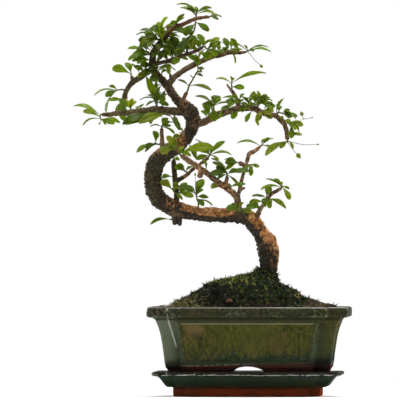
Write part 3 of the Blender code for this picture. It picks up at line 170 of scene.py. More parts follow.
# Limbs of the wood, each a run of (across, depth, height, width) in the tree's own frame:
# across to the right, depth away from the viewer. The trunk comes first.
LIMBS = {
    "trunk": [
        (18.2, 0, 88, 19), (18.2, 0, 104, 21), (18.4, 0, 114.5, 20.2), (19.6, 0, 124.5, 18.2),
        (20.2, 0.5, 132.5, 18.3), (20.7, 1, 140.5, 19.9), (19.7, 1.5, 147.5, 21),
        (18.2, 2, 153.5, 19.6), (13.7, 2.5, 160.5, 17), (7.6, 3, 169.5, 16.4),
        (1.0, 3.5, 177, 16.4), (-8, 4, 180.6, 15.2), (-20, 4.5, 180.8, 14.5),
        (-34, 5, 181, 14.5), (-49, 5, 182, 13.5), (-64, 5.5, 185, 15), (-76.5, 6, 188.5, 16),
        (-88, 6, 195.5, 17), (-94.5, 6, 205.5, 17.4), (-95.8, 5, 215.5, 17), (-95, 4, 225.5, 17),
        (-91.5, 2, 234.5, 17.5), (-83.5, 0, 242, 16), (-75, -1.5, 247.5, 15.5),
        (-67.5, -3, 252.8, 15), (-60.5, -4, 261, 14), (-56.5, -5, 269, 13.5),
        (-55.5, -5, 277, 15), (-58, -5, 283.5, 16), (-63, -4, 289.8, 12), (-70, -3, 295, 9.4),
        (-75, -2, 301, 8.4), (-79, -1, 307, 8), (-83, 0, 313, 8), (-89, 1, 319, 6.8),
        (-94, 2, 325, 6.6), (-96, 2, 331, 7.2), (-96, 2, 337, 6.4), (-94, 0, 345, 6),
        (-90, -2, 351, 5.5), (-85, -4, 357, 5), (-80, -5, 363, 4.6), (-75, -6, 368.2, 4),
        (-66, -7, 371.3, 3.5), (-60, -8, 374, 3.2), (-53, -9, 377, 3), (-45, -9, 378.5, 2.6),
        (-40, -9, 379, 2.2)],
    "left_low": [
        (-62, -4, 284, 7.8), (-75, -8, 284.8, 7.5), (-90, -13, 286, 7.2), (-100, -16, 285.2, 7),
        (-110, -18, 283.6, 7), (-118, -20, 282.8, 6.6), (-128, -21, 283, 4.9),
        (-138, -22, 281.5, 3.8), (-146, -23, 281.3, 2.6)],
    "left_low_spur": [(-115, -19, 283.5, 4.6), (-115.3, -19.5, 279.6, 4.4)],
    "top_right": [
        (-81, 0, 310, 6.4), (-75, 5, 318, 5.4), (-66, 9, 325, 4.6), (-58, 13, 330, 5),
        (-47.5, 16, 335, 5), (-37, 19, 340, 5), (-28, 21, 342, 5), (-20, 23, 344, 4),
        (-8, 25, 344, 3), (-3, 26, 344.5, 2.4)],
    "top_right_spur": [(-77.2, 3.5, 316, 3), (-78.3, 4, 322.5, 1.6)],
    "crown_right": [
        (-95, 2, 331, 4), (-90, -1, 333, 3.6), (-80, -6, 335, 3.2), (-72, -10, 338, 3),
        (-65, -13, 340.5, 3), (-57, -16, 343, 2.8), (-50, -18, 346, 2.5), (-46, -19, 348.4, 2.3)],
    "crown_left": [
        (-95, 2, 328, 6.4), (-104, 6, 322.3, 5.6), (-110, 10, 318, 5.4), (-117, 13, 313, 4.8),
        (-121.5, 15, 307, 4.2), (-123.6, 16, 301.5, 4.4), (-124, 16, 298, 5.4)],
    "crown_left_spur": [(-115, 12, 314.5, 3.8), (-117, 13, 319.5, 3)],
    "right": [
        (-57, -5, 271, 8), (-44.6, -8, 274, 7), (-35, -10, 278.5, 6.4), (-25.5, -12, 282.6, 6),
        (-11, -15, 287, 5.8), (2.3, -17, 288, 5.6), (8, -18, 286, 5.2), (17.6, -19, 281.8, 4.6),
        (27, -20, 280, 4.4), (34.8, -21, 272.5, 4), (37.7, -21, 265.4, 3.8),
        (38.7, -21, 257, 3.5)],
    "right_twig": [(-10.5, -15, 287, 4), (-11.5, -15, 295, 2.8), (-14, -14, 301.5, 2.6),
                   (-16, -13.4, 304.8, 2.4)],
    "right_twig_spur": [(-12.6, -14.6, 298, 2), (-21.4, -5, 311.4, 1.8)],
    "middle_twig": [(-66, -5, 291, 3.8), (-64.5, -9, 298, 3.2), (-62, -10.5, 303, 3)],
    "inner": [
        (-10, 4, 181, 7.4), (-10.5, -4, 190, 6), (-11.5, -8, 197.5, 5.8), (-15.5, -10, 203, 5.4),
        (-24, -12, 209.3, 6), (-31.7, -14, 214.8, 5.2), (-42.6, -16, 223.5, 4.8),
        (-53.5, -18, 231, 4.8), (-62, -20, 237, 4.4), (-66.5, -20.5, 240, 3.8)],
    "inner_up": [(-24, -12, 209.5, 4.4), (-22, -12, 215, 3.4), (-21.6, -12.5, 219, 3)],
    "inner_spur": [(-47.5, -16.8, 226.6, 4.4), (-48.5, -16.8, 219.5, 5)],
    "inner_right": [
        (-11.2, -7, 196, 4.4), (-9.5, -6, 204, 3.2), (-7, -4, 214.8, 2.8), (-4, -1, 227, 2.8),
        (-1.6, 1, 234, 2.8), (0.8, 3, 242, 3.8), (6, 5, 245, 3.6), (11, 6, 249, 2.6)],
    "inner_right_spur": [(-8.8, -5.5, 206, 2.4), (-4, -6, 208.3, 2)],
    "inner_right_knob": [(-3.2, 0, 230.4, 3.6), (-8.6, -2, 232.8, 4.2)],
    "inner_dark": [
        (-72, 6, 188, 5.8), (-72, 9, 197.5, 5), (-72.5, 11, 208, 4.6), (-74, 13, 221, 4.5),
        (-75, 14, 235.5, 4)],
    "inner_dark_twig": [
        (-73.3, 12, 214, 3.6), (-69.7, 12, 216.5, 4), (-62, 11, 221, 3.2), (-54.5, 9, 228, 2.8),
        (-47, 7, 233, 2.6), (-41, 5.5, 238, 3)],
    "low_right": [
        (7.5, 2, 177, 5.4), (10, -1, 183, 4.4), (11.7, -3, 187, 3.4), (15, -4.5, 191.5, 3),
        (18.2, -6, 196.3, 2.8), (23.6, -8, 202.8, 2.8), (29, -9, 205.5, 3),
        (32, -9.5, 207.5, 2.4)],
    "elbow_spur_left": [(-74, 6, 183, 6), (-73.6, 5, 172.6, 4.4)],
    "elbow_spur_right": [(-69, 6, 183, 5), (-68.6, 5, 171.2, 3.2)],
    "shoulder_twig": [
        (-84, -0.5, 245, 6.4), (-86.3, -3, 250, 3.8), (-86.5, -5, 259, 3.4),
        (-86.8, -6, 267, 2.8)],
}

# Leafy sprays: the limb each sits on, "end" or "side", its colour, the green stem's points
# (across, depth, height), then its leaves as (foot across, foot height, tip across, tip height,
# seen width, run in depth)
SPRAYS = {
    "crown_tip": ("trunk", "end", "dark", [(-38, -9, 379.4)], [
        (-38.6, 379, -27, 379.6, 2.0, -6), (-38.6, 379, -31.6, 382.6, 2.8, 7)]),
    "crown_upright": ("trunk", "side", "bright", [(-52.5, -9, 380.5), (-51.5, -9, 385)], [
        (-53, 380, -68, 389.3, 4.2, 6), (-52, 384.5, -71.5, 392.4, 2.2, -6),
        (-52.5, 382, -52.4, 389.6, 5.0, 4), (-51.5, 384, -37, 388.8, 4.2, -4),
        (-51.5, 383.5, -35, 384.3, 1.6, 9), (-52.3, 382, -33, 382.4, 2.4, -9)]),
    "crown_hanging": ("trunk", "side", "dark", [(-53, -13, 373.5), (-54, -15, 366),
                                                (-57, -16, 360)], [
        (-53, 373.5, -39.5, 365, 7.4, -6), (-53.2, 372, -64.5, 361.5, 9.5, -7),
        (-56, 362.5, -71, 341, 10.0, -5), (-56.5, 361, -57.5, 347, 7.5, -9),
        (-57, 360, -49, 349, 5.5, 7)]),
    "crown_young": ("trunk", "side", "young", [(-87.5, -3.2, 361.5), (-86, -3, 368)], [
        (-87.3, 362, -82.2, 379.7, 4.2, -3), (-87, 364, -90, 371.4, 2.6, 4),
        (-86.6, 366, -86, 374, 3.0, -5)]),
    "crown_arched": ("trunk", "side", "dark", [(-81.5, -3.2, 367), (-81.6, -3, 369)], [
        (-81.6, 369, -70.8, 374.8, 6.0, -5), (-81.5, 368, -77, 370.6, 3.4, 8)]),
    "crown_left_fan": ("trunk", "side", "dark", [(-91.5, -6, 357.5), (-92.5, -7, 361)], [
        (-92.3, 361, -108.5, 366.8, 3.8, 5), (-92, 360, -112, 363, 2.0, 10),
        (-92, 359.5, -102.5, 362.3, 3.4, -5), (-91.8, 358.5, -109, 351.5, 6.5, -8),
        (-91.5, 357.5, -101, 349, 5.5, -13)]),
    "crown_left_low": ("trunk", "side", "dark", [(-99.5, 1, 342.5), (-102, 1, 344.5)], [
        (-102, 344.8, -121, 348.2, 4.5, 6), (-101, 344, -116, 342.5, 5.0, 2),
        (-100, 342.5, -120.5, 336.2, 5.0, -7), (-101, 344, -107, 354, 5.0, -8)]),
    "crown_core": ("trunk", "side", "dark", [(-89.5, -5, 345), (-87, -8, 344.5)], [
        (-87.5, 344.6, -80.5, 342, 6.5, -8), (-87, 345, -79, 349.5, 3.2, -4),
        (-88, 344.6, -81, 336.4, 5.5, -4), (-89, 345, -95.5, 339.5, 4.5, -8),
        (-88, 344.6, -88, 337, 5.0, -9)]),
    "crown_layers": ("trunk", "side", "dark", [(-78.5, -8, 358.5)], [
        (-78.8, 358.5, -71.2, 363.8, 2.4, -8), (-78.5, 358.5, -68.5, 359.6, 2.0, 6),
        (-79, 358.2, -69.5, 355.6, 3.2, -6), (-79, 358, -72.5, 352.5, 3.6, 9)]),
    "crown_star": ("crown_right", "end", "bright", [(-43.5, -20, 348.4), (-41, -20.5, 346.6)], [
        (-42.5, 347.6, -50.8, 361.5, 7.0, -6), (-41, 346.8, -29.5, 358.6, 7.0, 4),
        (-41, 346.6, -27.2, 349.4, 2.4, -7), (-41, 346.6, -41.5, 336, 8.0, -6),
        (-42, 347, -50.5, 338, 2.6, -4), (-41.5, 346.8, -36, 341.5, 5.0, -8)]),
    "crown_mass": ("crown_right", "side", "bright", [(-62, -15.5, 345), (-60, -16.5, 349)], [
        (-60, 349, -50.5, 355.5, 6.0, -6), (-60.3, 348, -62, 358, 6.0, 8),
        (-61, 346.5, -51, 348, 5.0, -9), (-61.5, 346, -70, 350, 4.0, 7)]),
    "crown_olive": ("crown_right", "side", "bright", [(-76, -7.8, 340), (-76.2, -8, 342.4)], [
        (-76, 342.4, -69.5, 347.7, 5.0, -7), (-76.2, 341.6, -80.5, 349.5, 3.5, 7),
        (-76, 340.4, -66.5, 342.4, 3.4, 6)]),
    "fork_tuft": ("trunk", "side", "dark", [(-92.5, -4.5, 323), (-91, -5, 329)], [
        (-91, 329, -72.5, 327, 1.6, 5), (-92, 324, -83, 327.2, 1.8, -6),
        (-92.5, 323, -98.8, 315.6, 3.6, -6), (-92, 325, -101, 321.5, 2.4, -8)]),
    "top_right_fan": ("top_right", "side", "bright", [(-18, 19.5, 345.4), (-17.3, 18, 347.8)], [
        (-17.3, 347.8, -18.2, 354.4, 6.0, -8), (-17.8, 346.4, -31, 343.2, 4.6, -6),
        (-17.5, 347, -9.2, 345, 3.6, -7), (-18, 345.6, -13, 333.4, 2.6, -6)]),
    "top_right_tip": ("top_right", "end", "dark", [(-0.5, 26, 345.8)], [
        (-1, 345.8, -25.8, 356, 1.6, 9), (-0.8, 346, 20, 350.6, 2.4, -8),
        (-0.8, 345.6, 23, 346, 3.4, 6), (-0.8, 345.6, -4, 352, 3.6, -5)]),
    "left_top_pair": ("crown_left_spur", "end", "bright", [(-117.6, 13, 322.8)], [
        (-117.6, 322.4, -136.3, 329.3, 9.5, -6), (-117.6, 322.8, -122.4, 334.4, 7.0, 5)]),
    "left_green_shoot": ("crown_left", "side", "bright", [(-127, 13, 306.8), (-131.8, 12, 306)], [
        (-131.8, 306.2, -155, 302.6, 2.0, 7), (-131, 306.2, -139.3, 311, 4.6, -8),
        (-131.8, 306, -143.4, 284.5, 2.0, -10)]),
    "left_knob_fan": ("crown_left", "end", "bright", [(-124.2, 15.5, 295)], [
        (-124.2, 295.4, -125.5, 276, 10.5, -9), (-124.2, 295.4, -140, 296.8, 5.2, 3),
        (-124.2, 295.6, -132.6, 284, 4.0, 8)]),
    "left_rise": ("left_low", "side", "young", [(-117.6, -19.5, 287.4)], [
        (-117.6, 287.2, -113.6, 295.4, 8.0, 9), (-117.6, 287.2, -124, 291, 5.0, -8)]),
    "left_end": ("left_low", "end", "bright", [(-148, -24, 279.4), (-147.2, -25, 276.4)], [
        (-147.9, 280, -174.6, 290.8, 4.6, 6), (-147.6, 278.4, -164.8, 286, 6.5, -6),
        (-147.4, 277, -165.4, 272.4, 1.6, 9), (-147.2, 276.6, -134, 272.6, 7.0, -8),
        (-147.2, 276.6, -128, 274.2, 5.5, 4)]),
    "left_big": ("left_low", "side", "bright", [(-98.5, -19.5, 282.2)], [
        (-98.5, 282.2, -125.4, 273, 8.5, -3), (-98.5, 282.2, -106, 277.5, 4.4, -9)]),
    "left_broad": ("left_low", "side", "bright", [(-82, -15, 281.2), (-79, -16, 280.4)], [
        (-81.8, 281, -108.5, 274.4, 9.5, -6), (-79, 280.4, -68.2, 266.4, 6.0, -5)]),
    "left_middle": ("left_low", "side", "dark", [(-91.5, -11.5, 290.6), (-92.5, -11, 296.5)], [
        (-92.3, 296.5, -89.8, 308.6, 5.4, -4), (-92.3, 295.6, -81.6, 302.4, 4.4, 6),
        (-92.3, 295, -102.4, 290.6, 3.6, -5), (-92.4, 296.4, -108.6, 296.8, 1.6, 7),
        (-92, 293.6, -79.8, 291, 5.6, -6), (-92.2, 294.6, -85.5, 296.6, 4.0, -9)]),
    "crown_left_hang": ("crown_left", "side", "bright", [(-104.4, 1.5, 322), (-103.4, 0, 326),
                                                         (-101.6, -1, 330)], [
        (-104.4, 322.4, -94.8, 300.6, 8.5, -6), (-103.4, 326, -114.6, 329.8, 5.6, -5),
        (-102, 329, -107.5, 335.5, 3.6, 6)]),
    "middle_spray": ("middle_twig", "end", "dark", [(-60.4, -11.6, 306.6), (-59.2, -12, 310.6),
                                                    (-55.4, -13, 317), (-50.6, -14, 325.4),
                                                    (-50.8, -14.3, 328.6)], [
        (-59.4, 310, -70.6, 316.4, 3.4, -6), (-59.4, 310, -37.2, 306.4, 4.6, -5),
        (-50.8, 328.6, -44.6, 326.8, 3.4, -6), (-55.8, 316.4, -58.2, 320.8, 1.8, 6)]),
    "right_near": ("right", "side", "dark", [(-34.4, -15, 284.4), (-34.8, -15.5, 290.6)], [
        (-34.6, 288, -34.4, 275, 10.5, -7), (-34.8, 290.6, -52.8, 300.5, 3.8, 6),
        (-34.8, 290.6, -31, 300.6, 11.0, 6), (-34.8, 290, -46.6, 292.2, 4.8, -7),
        (-34.8, 290.2, -15.5, 292.6, 3.0, -9), (-34.7, 289.6, -28.6, 297.5, 6.0, -8)]),
    "right_middle": ("right", "side", "dark", [(-8.4, -18.6, 290.4), (-9.4, -19, 296)], [
        (-9, 293.6, -23.4, 294.4, 5.2, -6), (-9.4, 295, -25.4, 299, 3.8, 6),
        (-9.4, 296, -17.4, 300.6, 4.6, -7), (-8.8, 292.4, -1.4, 291, 5.0, -8),
        (-8.6, 291, -6.2, 284, 5.0, -8), (-9.4, 296, -4.8, 303, 4.0, 6)]),
    "right_crest": ("right", "side", "dark", [(9.4, -18.6, 289.6), (10.8, -19, 293)], [
        (10.4, 292.4, 3.6, 301.6, 8.5, -6), (10.8, 293, 14.8, 299.8, 7.0, 8),
        (9.8, 291, -4.2, 298.8, 2.4, 7), (10.8, 293, 23.4, 296.4, 1.6, 6),
        (10.8, 293, 26.4, 289, 7.5, -8), (9.6, 290.4, -1.6, 291.6, 3.6, -8)]),
    "right_skirt": ("right", "side", "bright", [(13.8, -23, 284.4), (14.4, -24, 283)], [
        (13.8, 284.6, 24.8, 286.6, 7.0, -6), (13.8, 284.2, 8.6, 274.8, 7.0, -5),
        (14.4, 283, 23.6, 277.6, 6.5, -4)]),
    "right_stem": ("right", "side", "bright", [(29.8, -20, 283.8), (34.6, -21, 282)], [
        (30, 283.6, 29.4, 291.6, 7.5, 8), (34.6, 282, 48.6, 279.6, 5.0, -6),
        (34.4, 282, 41.2, 278.4, 4.0, -9), (34.6, 282, 47.4, 277.4, 1.8, 6)]),
    "right_corner": ("right", "side", "bright", [(35.6, -25.2, 275.6), (39, -25.6, 273),
                                                 (42, -25, 270.8)], [
        (36, 275.6, 41.6, 274, 5.0, -8), (36, 275.6, 30.6, 279, 5.0, -7),
        (41.6, 271, 42.4, 257.6, 7.0, -5), (42, 270.8, 50.8, 264.8, 2.0, 5),
        (41.8, 271, 46.8, 266.6, 4.0, -8)]),
    "right_end": ("right", "end", "bright", [(38.9, -21, 254.2)], [
        (38.9, 255, 16.4, 241, 8.0, -6),
        (38.9, 255, 44.5, 248, 3.0, -9)]),
    "right_twig_top": ("right_twig", "end", "bright", [(-16.8, -13, 308.6), (-17, -13, 312.6)], [
        (-17, 312.6, 17.6, 323.4, 5.0, -8), (-17, 312.4, -32.6, 318.2, 3.6, 6),
        (-17, 312.6, -14.6, 318.2, 4.0, -6), (-16.8, 308.8, -4.6, 308.4, 6.5, -6)]),
    "shoulder_tip": ("shoulder_twig", "end", "bright", [(-86.6, -6.3, 269.6)], [
        (-86.6, 269.2, -98, 270.6, 1.8, 6), (-86.6, 269.6, -73.6, 274.4, 2.2, -7),
        (-86.6, 269, -73.8, 262.8, 3.2, 5)]),
    "shoulder_low": ("shoulder_twig", "side", "dark", [(-90.2, -5, 251.6), (-93, -5.4, 252.8)], [
        (-93, 252.8, -93.4, 265.6, 7.8, 5), (-92.4, 252.4, -112, 244.6, 4.4, 6),
        (-91, 251.8, -103.6, 244.6, 3.2, -6)]),
    "inner_end": ("inner", "end", "bright", [(-69, -21, 242.4), (-74, -20, 247.6)], [
        (-69, 242.4, -36.4, 250.4, 10.0, -5), (-74, 247.6, -88.6, 245, 9.0, -3),
        (-73.6, 247.4, -81, 260.4, 7.0, 3), (-70.4, 244, -64.6, 249.4, 4.6, -7),
        (-69.4, 243, -57.6, 240.6, 4.6, -9)]),
    "inner_dark_end": ("inner_dark", "end", "bright", [(-75, 14.3, 238.6)], [
        (-75, 238, -69.4, 236.6, 5.0, -4), (-75, 238.6, -81, 247.6, 3.6, 12),
        (-75, 238.2, -69, 245, 3.0, 11)]),
    "inner_dark_star": ("inner_dark_twig", "end", "bright", [(-38.6, 5, 241.2)], [
        (-38.6, 241.2, -24, 255.5, 6.5, -4), (-38.6, 240.8, -16.8, 243, 4.4, 5),
        (-38.8, 241, -52.8, 257.3, 2.6, 7), (-39, 240.8, -52.4, 237.6, 6.0, -8),
        (-38.6, 241, -49, 247, 5.0, -5), (-38.4, 240.6, -30, 236.8, 2.4, 9)]),
    "inner_top": ("inner_up", "end", "dark", [(-21.8, -13, 223.4)], [
        (-22, 223, -38.6, 222.6, 7.4, -4), (-21.8, 223.4, -35.6, 235, 5.6, 5),
        (-21.8, 223.4, -37, 238, 1.6, -9), (-21.7, 222, 1.4, 226, 6.5, -5),
        (-21.7, 221.4, -8.8, 208.6, 4.2, -5), (-21.8, 221.6, -31, 217.6, 4.2, -7)]),
    "inner_knob_pair": ("inner_right_knob", "end", "dark", [(-11.2, -2.6, 233.6)], [
        (-11, 233.6, -24.4, 237.4, 2.8, 5), (-11, 233.4, -22.6, 226.8, 5.6, -4)]),
    "inner_right_tuft": ("inner_right", "side", "dark", [(1.2, -2.6, 231.4)], [
        (1.2, 231.4, 2.6, 220.6, 5.6, -4), (1.2, 231.4, 11, 230, 1.4, 5),
        (1.2, 231.4, -4.6, 224.6, 5.0, -7)]),
    "inner_right_tip": ("inner_right", "end", "bright", [(13.4, 6.4, 250.8)], [
        (12.6, 250.4, -11.2, 255, 3.6, 5), (13.4, 250.8, 24.8, 258.4, 3.0, 5),
        (13.4, 250.8, 24.2, 248.2, 3.0, -5), (13.4, 250.8, 15.4, 257.6, 3.6, -5)]),
    "elbow_right": ("inner", "side", "bright", [(-10.8, -8, 186.8), (-11, -9.5, 185)], [
        (-11, 185.4, -22.4, 189, 8.0, -3), (-11, 185.6, -16.6, 193.4, 5.0, -4),
        (-11, 185.4, 3, 185.6, 6.0, -4), (-10.8, 186.6, -5.6, 194.4, 4.4, -5)]),
    "inner_left_star": ("trunk", "side", "dark", [(-50, -1, 192.4), (-51.6, -3, 197.4),
                                                  (-52.4, -4, 201.6)], [
        (-52.4, 201.6, -70, 210.4, 6.4, 5), (-52.3, 201.2, -62.4, 212, 4.2, -5),
        (-52.2, 201, -46, 217.6, 10.5, -6), (-51.8, 199.4, -40.4, 199, 5.2, -6),
        (-51.6, 198, -44.8, 190.6, 6.2, -6), (-51.4, 197, -36, 190.8, 1.6, 6)]),
    "inner_far_left": ("inner_dark", "side", "bright", [(-74, 5.5, 203.6), (-75.4, 4, 205.6)], [
        (-75.4, 205.6, -87.8, 216, 9.5, -4), (-74, 203.8, -66, 196.6, 4.6, -7),
        (-74.4, 204.6, -68.8, 211, 4.0, -8)]),
    "inner_dark_mid": ("inner_dark_twig", "side", "bright", [(-63.4, 7.2, 224.6)], [
        (-63.4, 224.6, -73, 231.4, 8.0, -3), (-63.4, 224.6, -57, 230, 4.4, -5),
        (-63.4, 224.4, -71.8, 226.6, 2.0, 5)]),
    "low_right_first": ("low_right", "side", "dark", [(8.6, -3.4, 188.6)], [
        (8.6, 188.6, 1.4, 192.2, 2.0, -4)]),
    "low_right_middle": ("low_right", "side", "dark", [(17.8, -9.6, 196.6), (18, -10.5, 199)], [
        (17.9, 198.6, 3.6, 200.3, 3.8, -4), (18, 198.6, 21.6, 209.6, 8.5, -5),
        (17.9, 197.4, 37.8, 189, 5.8, -5), (17.8, 197, 21.6, 188, 6.4, -5)]),
    "low_right_tip": ("low_right", "end", "bright", [(33.4, -9.8, 209.4)], [
        (33, 209, 11.8, 207.2, 4.4, 5), (33.2, 209.2, 17.8, 218, 3.2, -6),
        (33.4, 209.2, 41.4, 196.8, 6.2, -5), (33.4, 209.4, 31.6, 215, 4.0, -5),
        (33.4, 209.2, 40.5, 207.6, 3.2, 7)]),
    "low_left": ("elbow_spur_left", "side", "dark", [(-77.8, 4.6, 176.6)], [
        (-77.8, 176.6, -98.2, 173, 4.2, -5)]),
}

# Small buds on thin stalks: the spray, the stalk's foot and the bud's place (across, depth,
# height), and the bud's size
BUDS = [
    ("top_right_tip", (-0.6, 26, 345.7), (12.8, 24, 330.6), 1.9),
    ("left_end", (-147.2, -25, 276.4), (-148.6, -29, 272.4), 1.3),
    ("right_corner", (42, -25, 270.8), (54.6, -24, 277), 0.8),
    ("right_corner", (54.6, -24, 277), (63, -23, 278.3), 0.9),
    ("right_corner", (54.6, -24, 277), (53, -25.5, 281.6), 2.4),
    ("right_end", (38.9, -21, 254.2), (49.4, -22, 240.6), 2.9),
    ("right_end", (38.9, -21, 254.9), (69, -18, 251.6), 1.1),
    ("inner_left_star", (-52.4, -4, 201.6), (-53.4, -6.5, 221.4), 1.4),
]


class Wire:
    """A node's output that can be used in sums."""

    def __init__(self, tree, socket):
        self.tree, self.socket = tree, socket

    def maths(self, operation, *values):
        return self.tree.node("ShaderNodeMath", {"operation": operation}, dict(enumerate(values)))

    def __add__(self, other):
        return self.maths("ADD", self, other)

    def __sub__(self, other):
        return self.maths("SUBTRACT", self, other)

    def __mul__(self, other):
        return self.maths("MULTIPLY", self, other)

    def __radd__(self, other):
        return self.maths("ADD", other, self)

    def __rsub__(self, other):
        return self.maths("SUBTRACT", other, self)

    def beside(self, name):
        """Another output of the same node."""
        return Wire(self.tree, self.socket.node.outputs[name])

    def least(self, other):
        return self.maths("MINIMUM", self, other)

    def most(self, other):
        return self.maths("MAXIMUM", self, other)

    def sine(self):
        return self.maths("SINE", self)

    def size(self):
        return self.maths("ABSOLUTE", self)

    def rise(self, low, high):
        """0 below low, 1 above high and a smooth step between; low above high turns it round."""
        return self.tree.node("ShaderNodeMapRange", {"interpolation_type": "SMOOTHSTEP"},
                              {"Value": self, "From Min": low, "From Max": high})

    def band(self, low, high, soft):
        """1 between low and high, fading to 0 over a soft edge on either side."""
        return self.rise(low - soft, low) * (1 - self.rise(high, high + soft))

    def ramp(self, *stops):
        """A colour for each value, from stops of place and colour."""
        return self.tree.node("ShaderNodeValToRGB", {"stops": stops}, {"Fac": self})


class Tree:
    """A node tree under construction."""

    def __init__(self, tree):
        self.tree = tree

    def node(self, kind, settings=None, sockets=None, output=0):
        node = self.tree.nodes.new(kind)
        for name, value in (settings or {}).items():
            if name == "stops":
                ramp = node.color_ramp
                for place, _ in value[1:-1]:
                    ramp.elements.new(place)
                for element, (place, colour) in zip(ramp.elements, value):
                    element.position = place
                    element.color = (*colour[:3], 1.0)
            else:
                setattr(node, name, value)
        for name, value in (sockets or {}).items():
            if isinstance(value, Wire):
                self.tree.links.new(value.socket, node.inputs[name])
            else:
                node.inputs[name].default_value = value
        return Wire(self, node.outputs[output] if len(node.outputs) else None)

    def mix(self, share, first, second):
        """A blend of two colours."""
        settings = {"data_type": "RGBA"}
        values = {0: share, 6: paint(first), 7: paint(second)}
        return self.node("ShaderNodeMix", settings, values, 2)

    def shaded(self, colour, amount):
        """A colour made darker or lighter by a varying amount."""
        grey = self.node("ShaderNodeCombineColor", None, {0: amount, 1: amount, 2: amount})
        settings = {"data_type": "RGBA", "blend_type": "MULTIPLY"}
        return self.node("ShaderNodeMix", settings, {0: 1.0, 6: paint(colour), 7: grey}, 2)


def paint(colour):
    return colour if isinstance(colour, Wire) else (*colour[:3], 1.0)


class Finish(Tree):
    """A material under construction."""

    def __init__(self, name):
        self.material = bpy.data.materials.new(name)
        self.material.use_nodes = True
        super().__init__(self.material.node_tree)
        self.tree.nodes.clear()
        self.place = self.node("ShaderNodeTexCoord", output="Object")

    def axis(self, output):
        """One of the three Object coordinates, in metres."""
        return self.node("ShaderNodeSeparateXYZ", None, {0: self.place}, output)

    def scaled(self, size):
        """Object coordinates scaled along each axis."""
        return self.node("ShaderNodeMapping", None, {"Vector": self.place, "Scale": size})

    def noise(self, scale, detail=3.0, roughness=0.5, distortion=0.0, place=None):
        return self.node("ShaderNodeTexNoise", None, {
            "Vector": place or self.place, "Scale": scale, "Detail": detail,
            "Roughness": roughness, "Distortion": distortion})

    def cells(self, scale, feature="F1"):
        return self.node("ShaderNodeTexVoronoi", {"feature": feature},
                         {"Vector": self.place, "Scale": scale}, "Distance")

    def value(self, name):
        """An attribute that holds one number."""
        return self.node("ShaderNodeAttribute", {"attribute_name": name}, None, "Fac")

    def attribute(self, name):
        """A colour attribute's red, green and blue, each as a value."""
        colour = self.node("ShaderNodeAttribute", {"attribute_name": name}, None, "Color")
        return [self.node("ShaderNodeSeparateColor", None, {0: colour}, k) for k in range(3)]

    def bump(self, height, distance, strength=1.0, under=None):
        sockets = {"Height": height, "Distance": distance, "Strength": strength}
        if under:
            sockets["Normal"] = under
        return self.node("ShaderNodeBump", None, sockets)

    def shader(self, **sockets):
        """The surface's own shader; an underscore in a socket's name stands for a space."""
        values = {name.replace("_", " "): value for name, value in sockets.items()}
        values["Base Color"] = paint(values["Base Color"])
        return self.node("ShaderNodeBsdfPrincipled", None, values)

    def done(self, surface):
        self.node("ShaderNodeOutputMaterial", None, {"Surface": surface})
        return self.material


# Geometry that several pieces share

def smooth(value, low, high):
    """0 below low, 1 above high and a smooth step between; works on numbers and arrays."""
    share = np.clip((np.asarray(value, float) - low) / (high - low), 0.0, 1.0)
    return share * share * (3 - 2 * share)


def mesh_of(name, points, faces):
    """A mesh from points in millimetres, its faces turned outwards."""
    mesh = bpy.data.meshes.new(name)
    mesh.from_pydata((np.asarray(points, float) * MM).tolist(), [], faces)
    bm = bmesh.new()
    bm.from_mesh(mesh)
    bmesh.ops.recalc_face_normals(bm, faces=bm.faces)
    bm.to_mesh(mesh)
    bm.free()
    return mesh


def skin(rows, count, first=0, loop=False):
    """Faces over rings of count points each, closed at both ends or into a loop."""
    faces = []
    for row in range(rows if loop else rows - 1):
        low, high = first + row * count, first + (row + 1) % rows * count
        for i in range(count):
            j = (i + 1) % count
            faces.append((low + i, low + j, high + j, high + i))
    if not loop:
        last = first + (rows - 1) * count
        faces += [tuple(range(first, first + count))[::-1], tuple(range(last, last + count))]
    return faces


def loft(name, rings, loop=False):
    """A mesh over rings of equal point counts."""
    return mesh_of(name, np.concatenate(rings), skin(len(rings), len(rings[0]), loop=loop))


def level(plan, height):
    """Points over a plan at one height, or at a height for each."""
    return np.column_stack((plan[:, :2], np.broadcast_to(height, len(plan))))


def tag(mesh, name, colours, domain="POINT"):
    """Store a colour attribute: three numbers for each point or face."""
    layer = mesh.attributes.new(name, "FLOAT_COLOR", domain)
    rgba = np.ones((len(colours), 4), np.float32)
    rgba[:, :3] = colours
    layer.data.foreach_set("color", rgba.ravel())


def points_of(mesh):
    """A mesh's points in millimetres."""
    flat = np.empty(len(mesh.vertices) * 3, np.float32)
    mesh.vertices.foreach_get("co", flat)
    return flat.reshape(-1, 3).astype(float) / MM


def normals_of(mesh):
    flat = np.empty(len(mesh.vertices) * 3, np.float32)
    mesh.vertex_normals.foreach_get("vector", flat)
    return flat.reshape(-1, 3).astype(float)


def move_points(mesh, points):
    mesh.vertices.foreach_set("co", (points * MM).astype(np.float32).ravel())
    mesh.update()


def new_object(name, mesh):
    piece = bpy.data.objects.new(name, mesh)
    bpy.context.scene.collection.objects.link(piece)
    return piece


def settle(piece):
    """Turn a piece's modifiers into its plain mesh."""
    bpy.context.view_layer.update()
    graph = bpy.context.evaluated_depsgraph_get()
    mesh = bpy.data.meshes.new_from_object(piece.evaluated_get(graph))
    piece.modifiers.clear()
    piece.data = mesh


def hand_over(piece, finish, slot, nodes, sharp_degrees=40.0):
    """Give a piece its material, smooth shading and body, and hide the nodes that it stands for;
    its slot is not used.
    """
    piece.data.materials.clear()
    piece.data.materials.append(finish)
    piece.data.shade_smooth()
    piece.data.set_sharp_from_angle(angle=math.radians(sharp_degrees))
    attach(piece, "root")
    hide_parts(*nodes)


def join(name, pieces):
    """One object from several; their attributes are kept."""
    with bpy.context.temp_override(active_object=pieces[0], selected_editable_objects=pieces):
        bpy.ops.object.join()
    pieces[0].name = name
    return pieces[0]


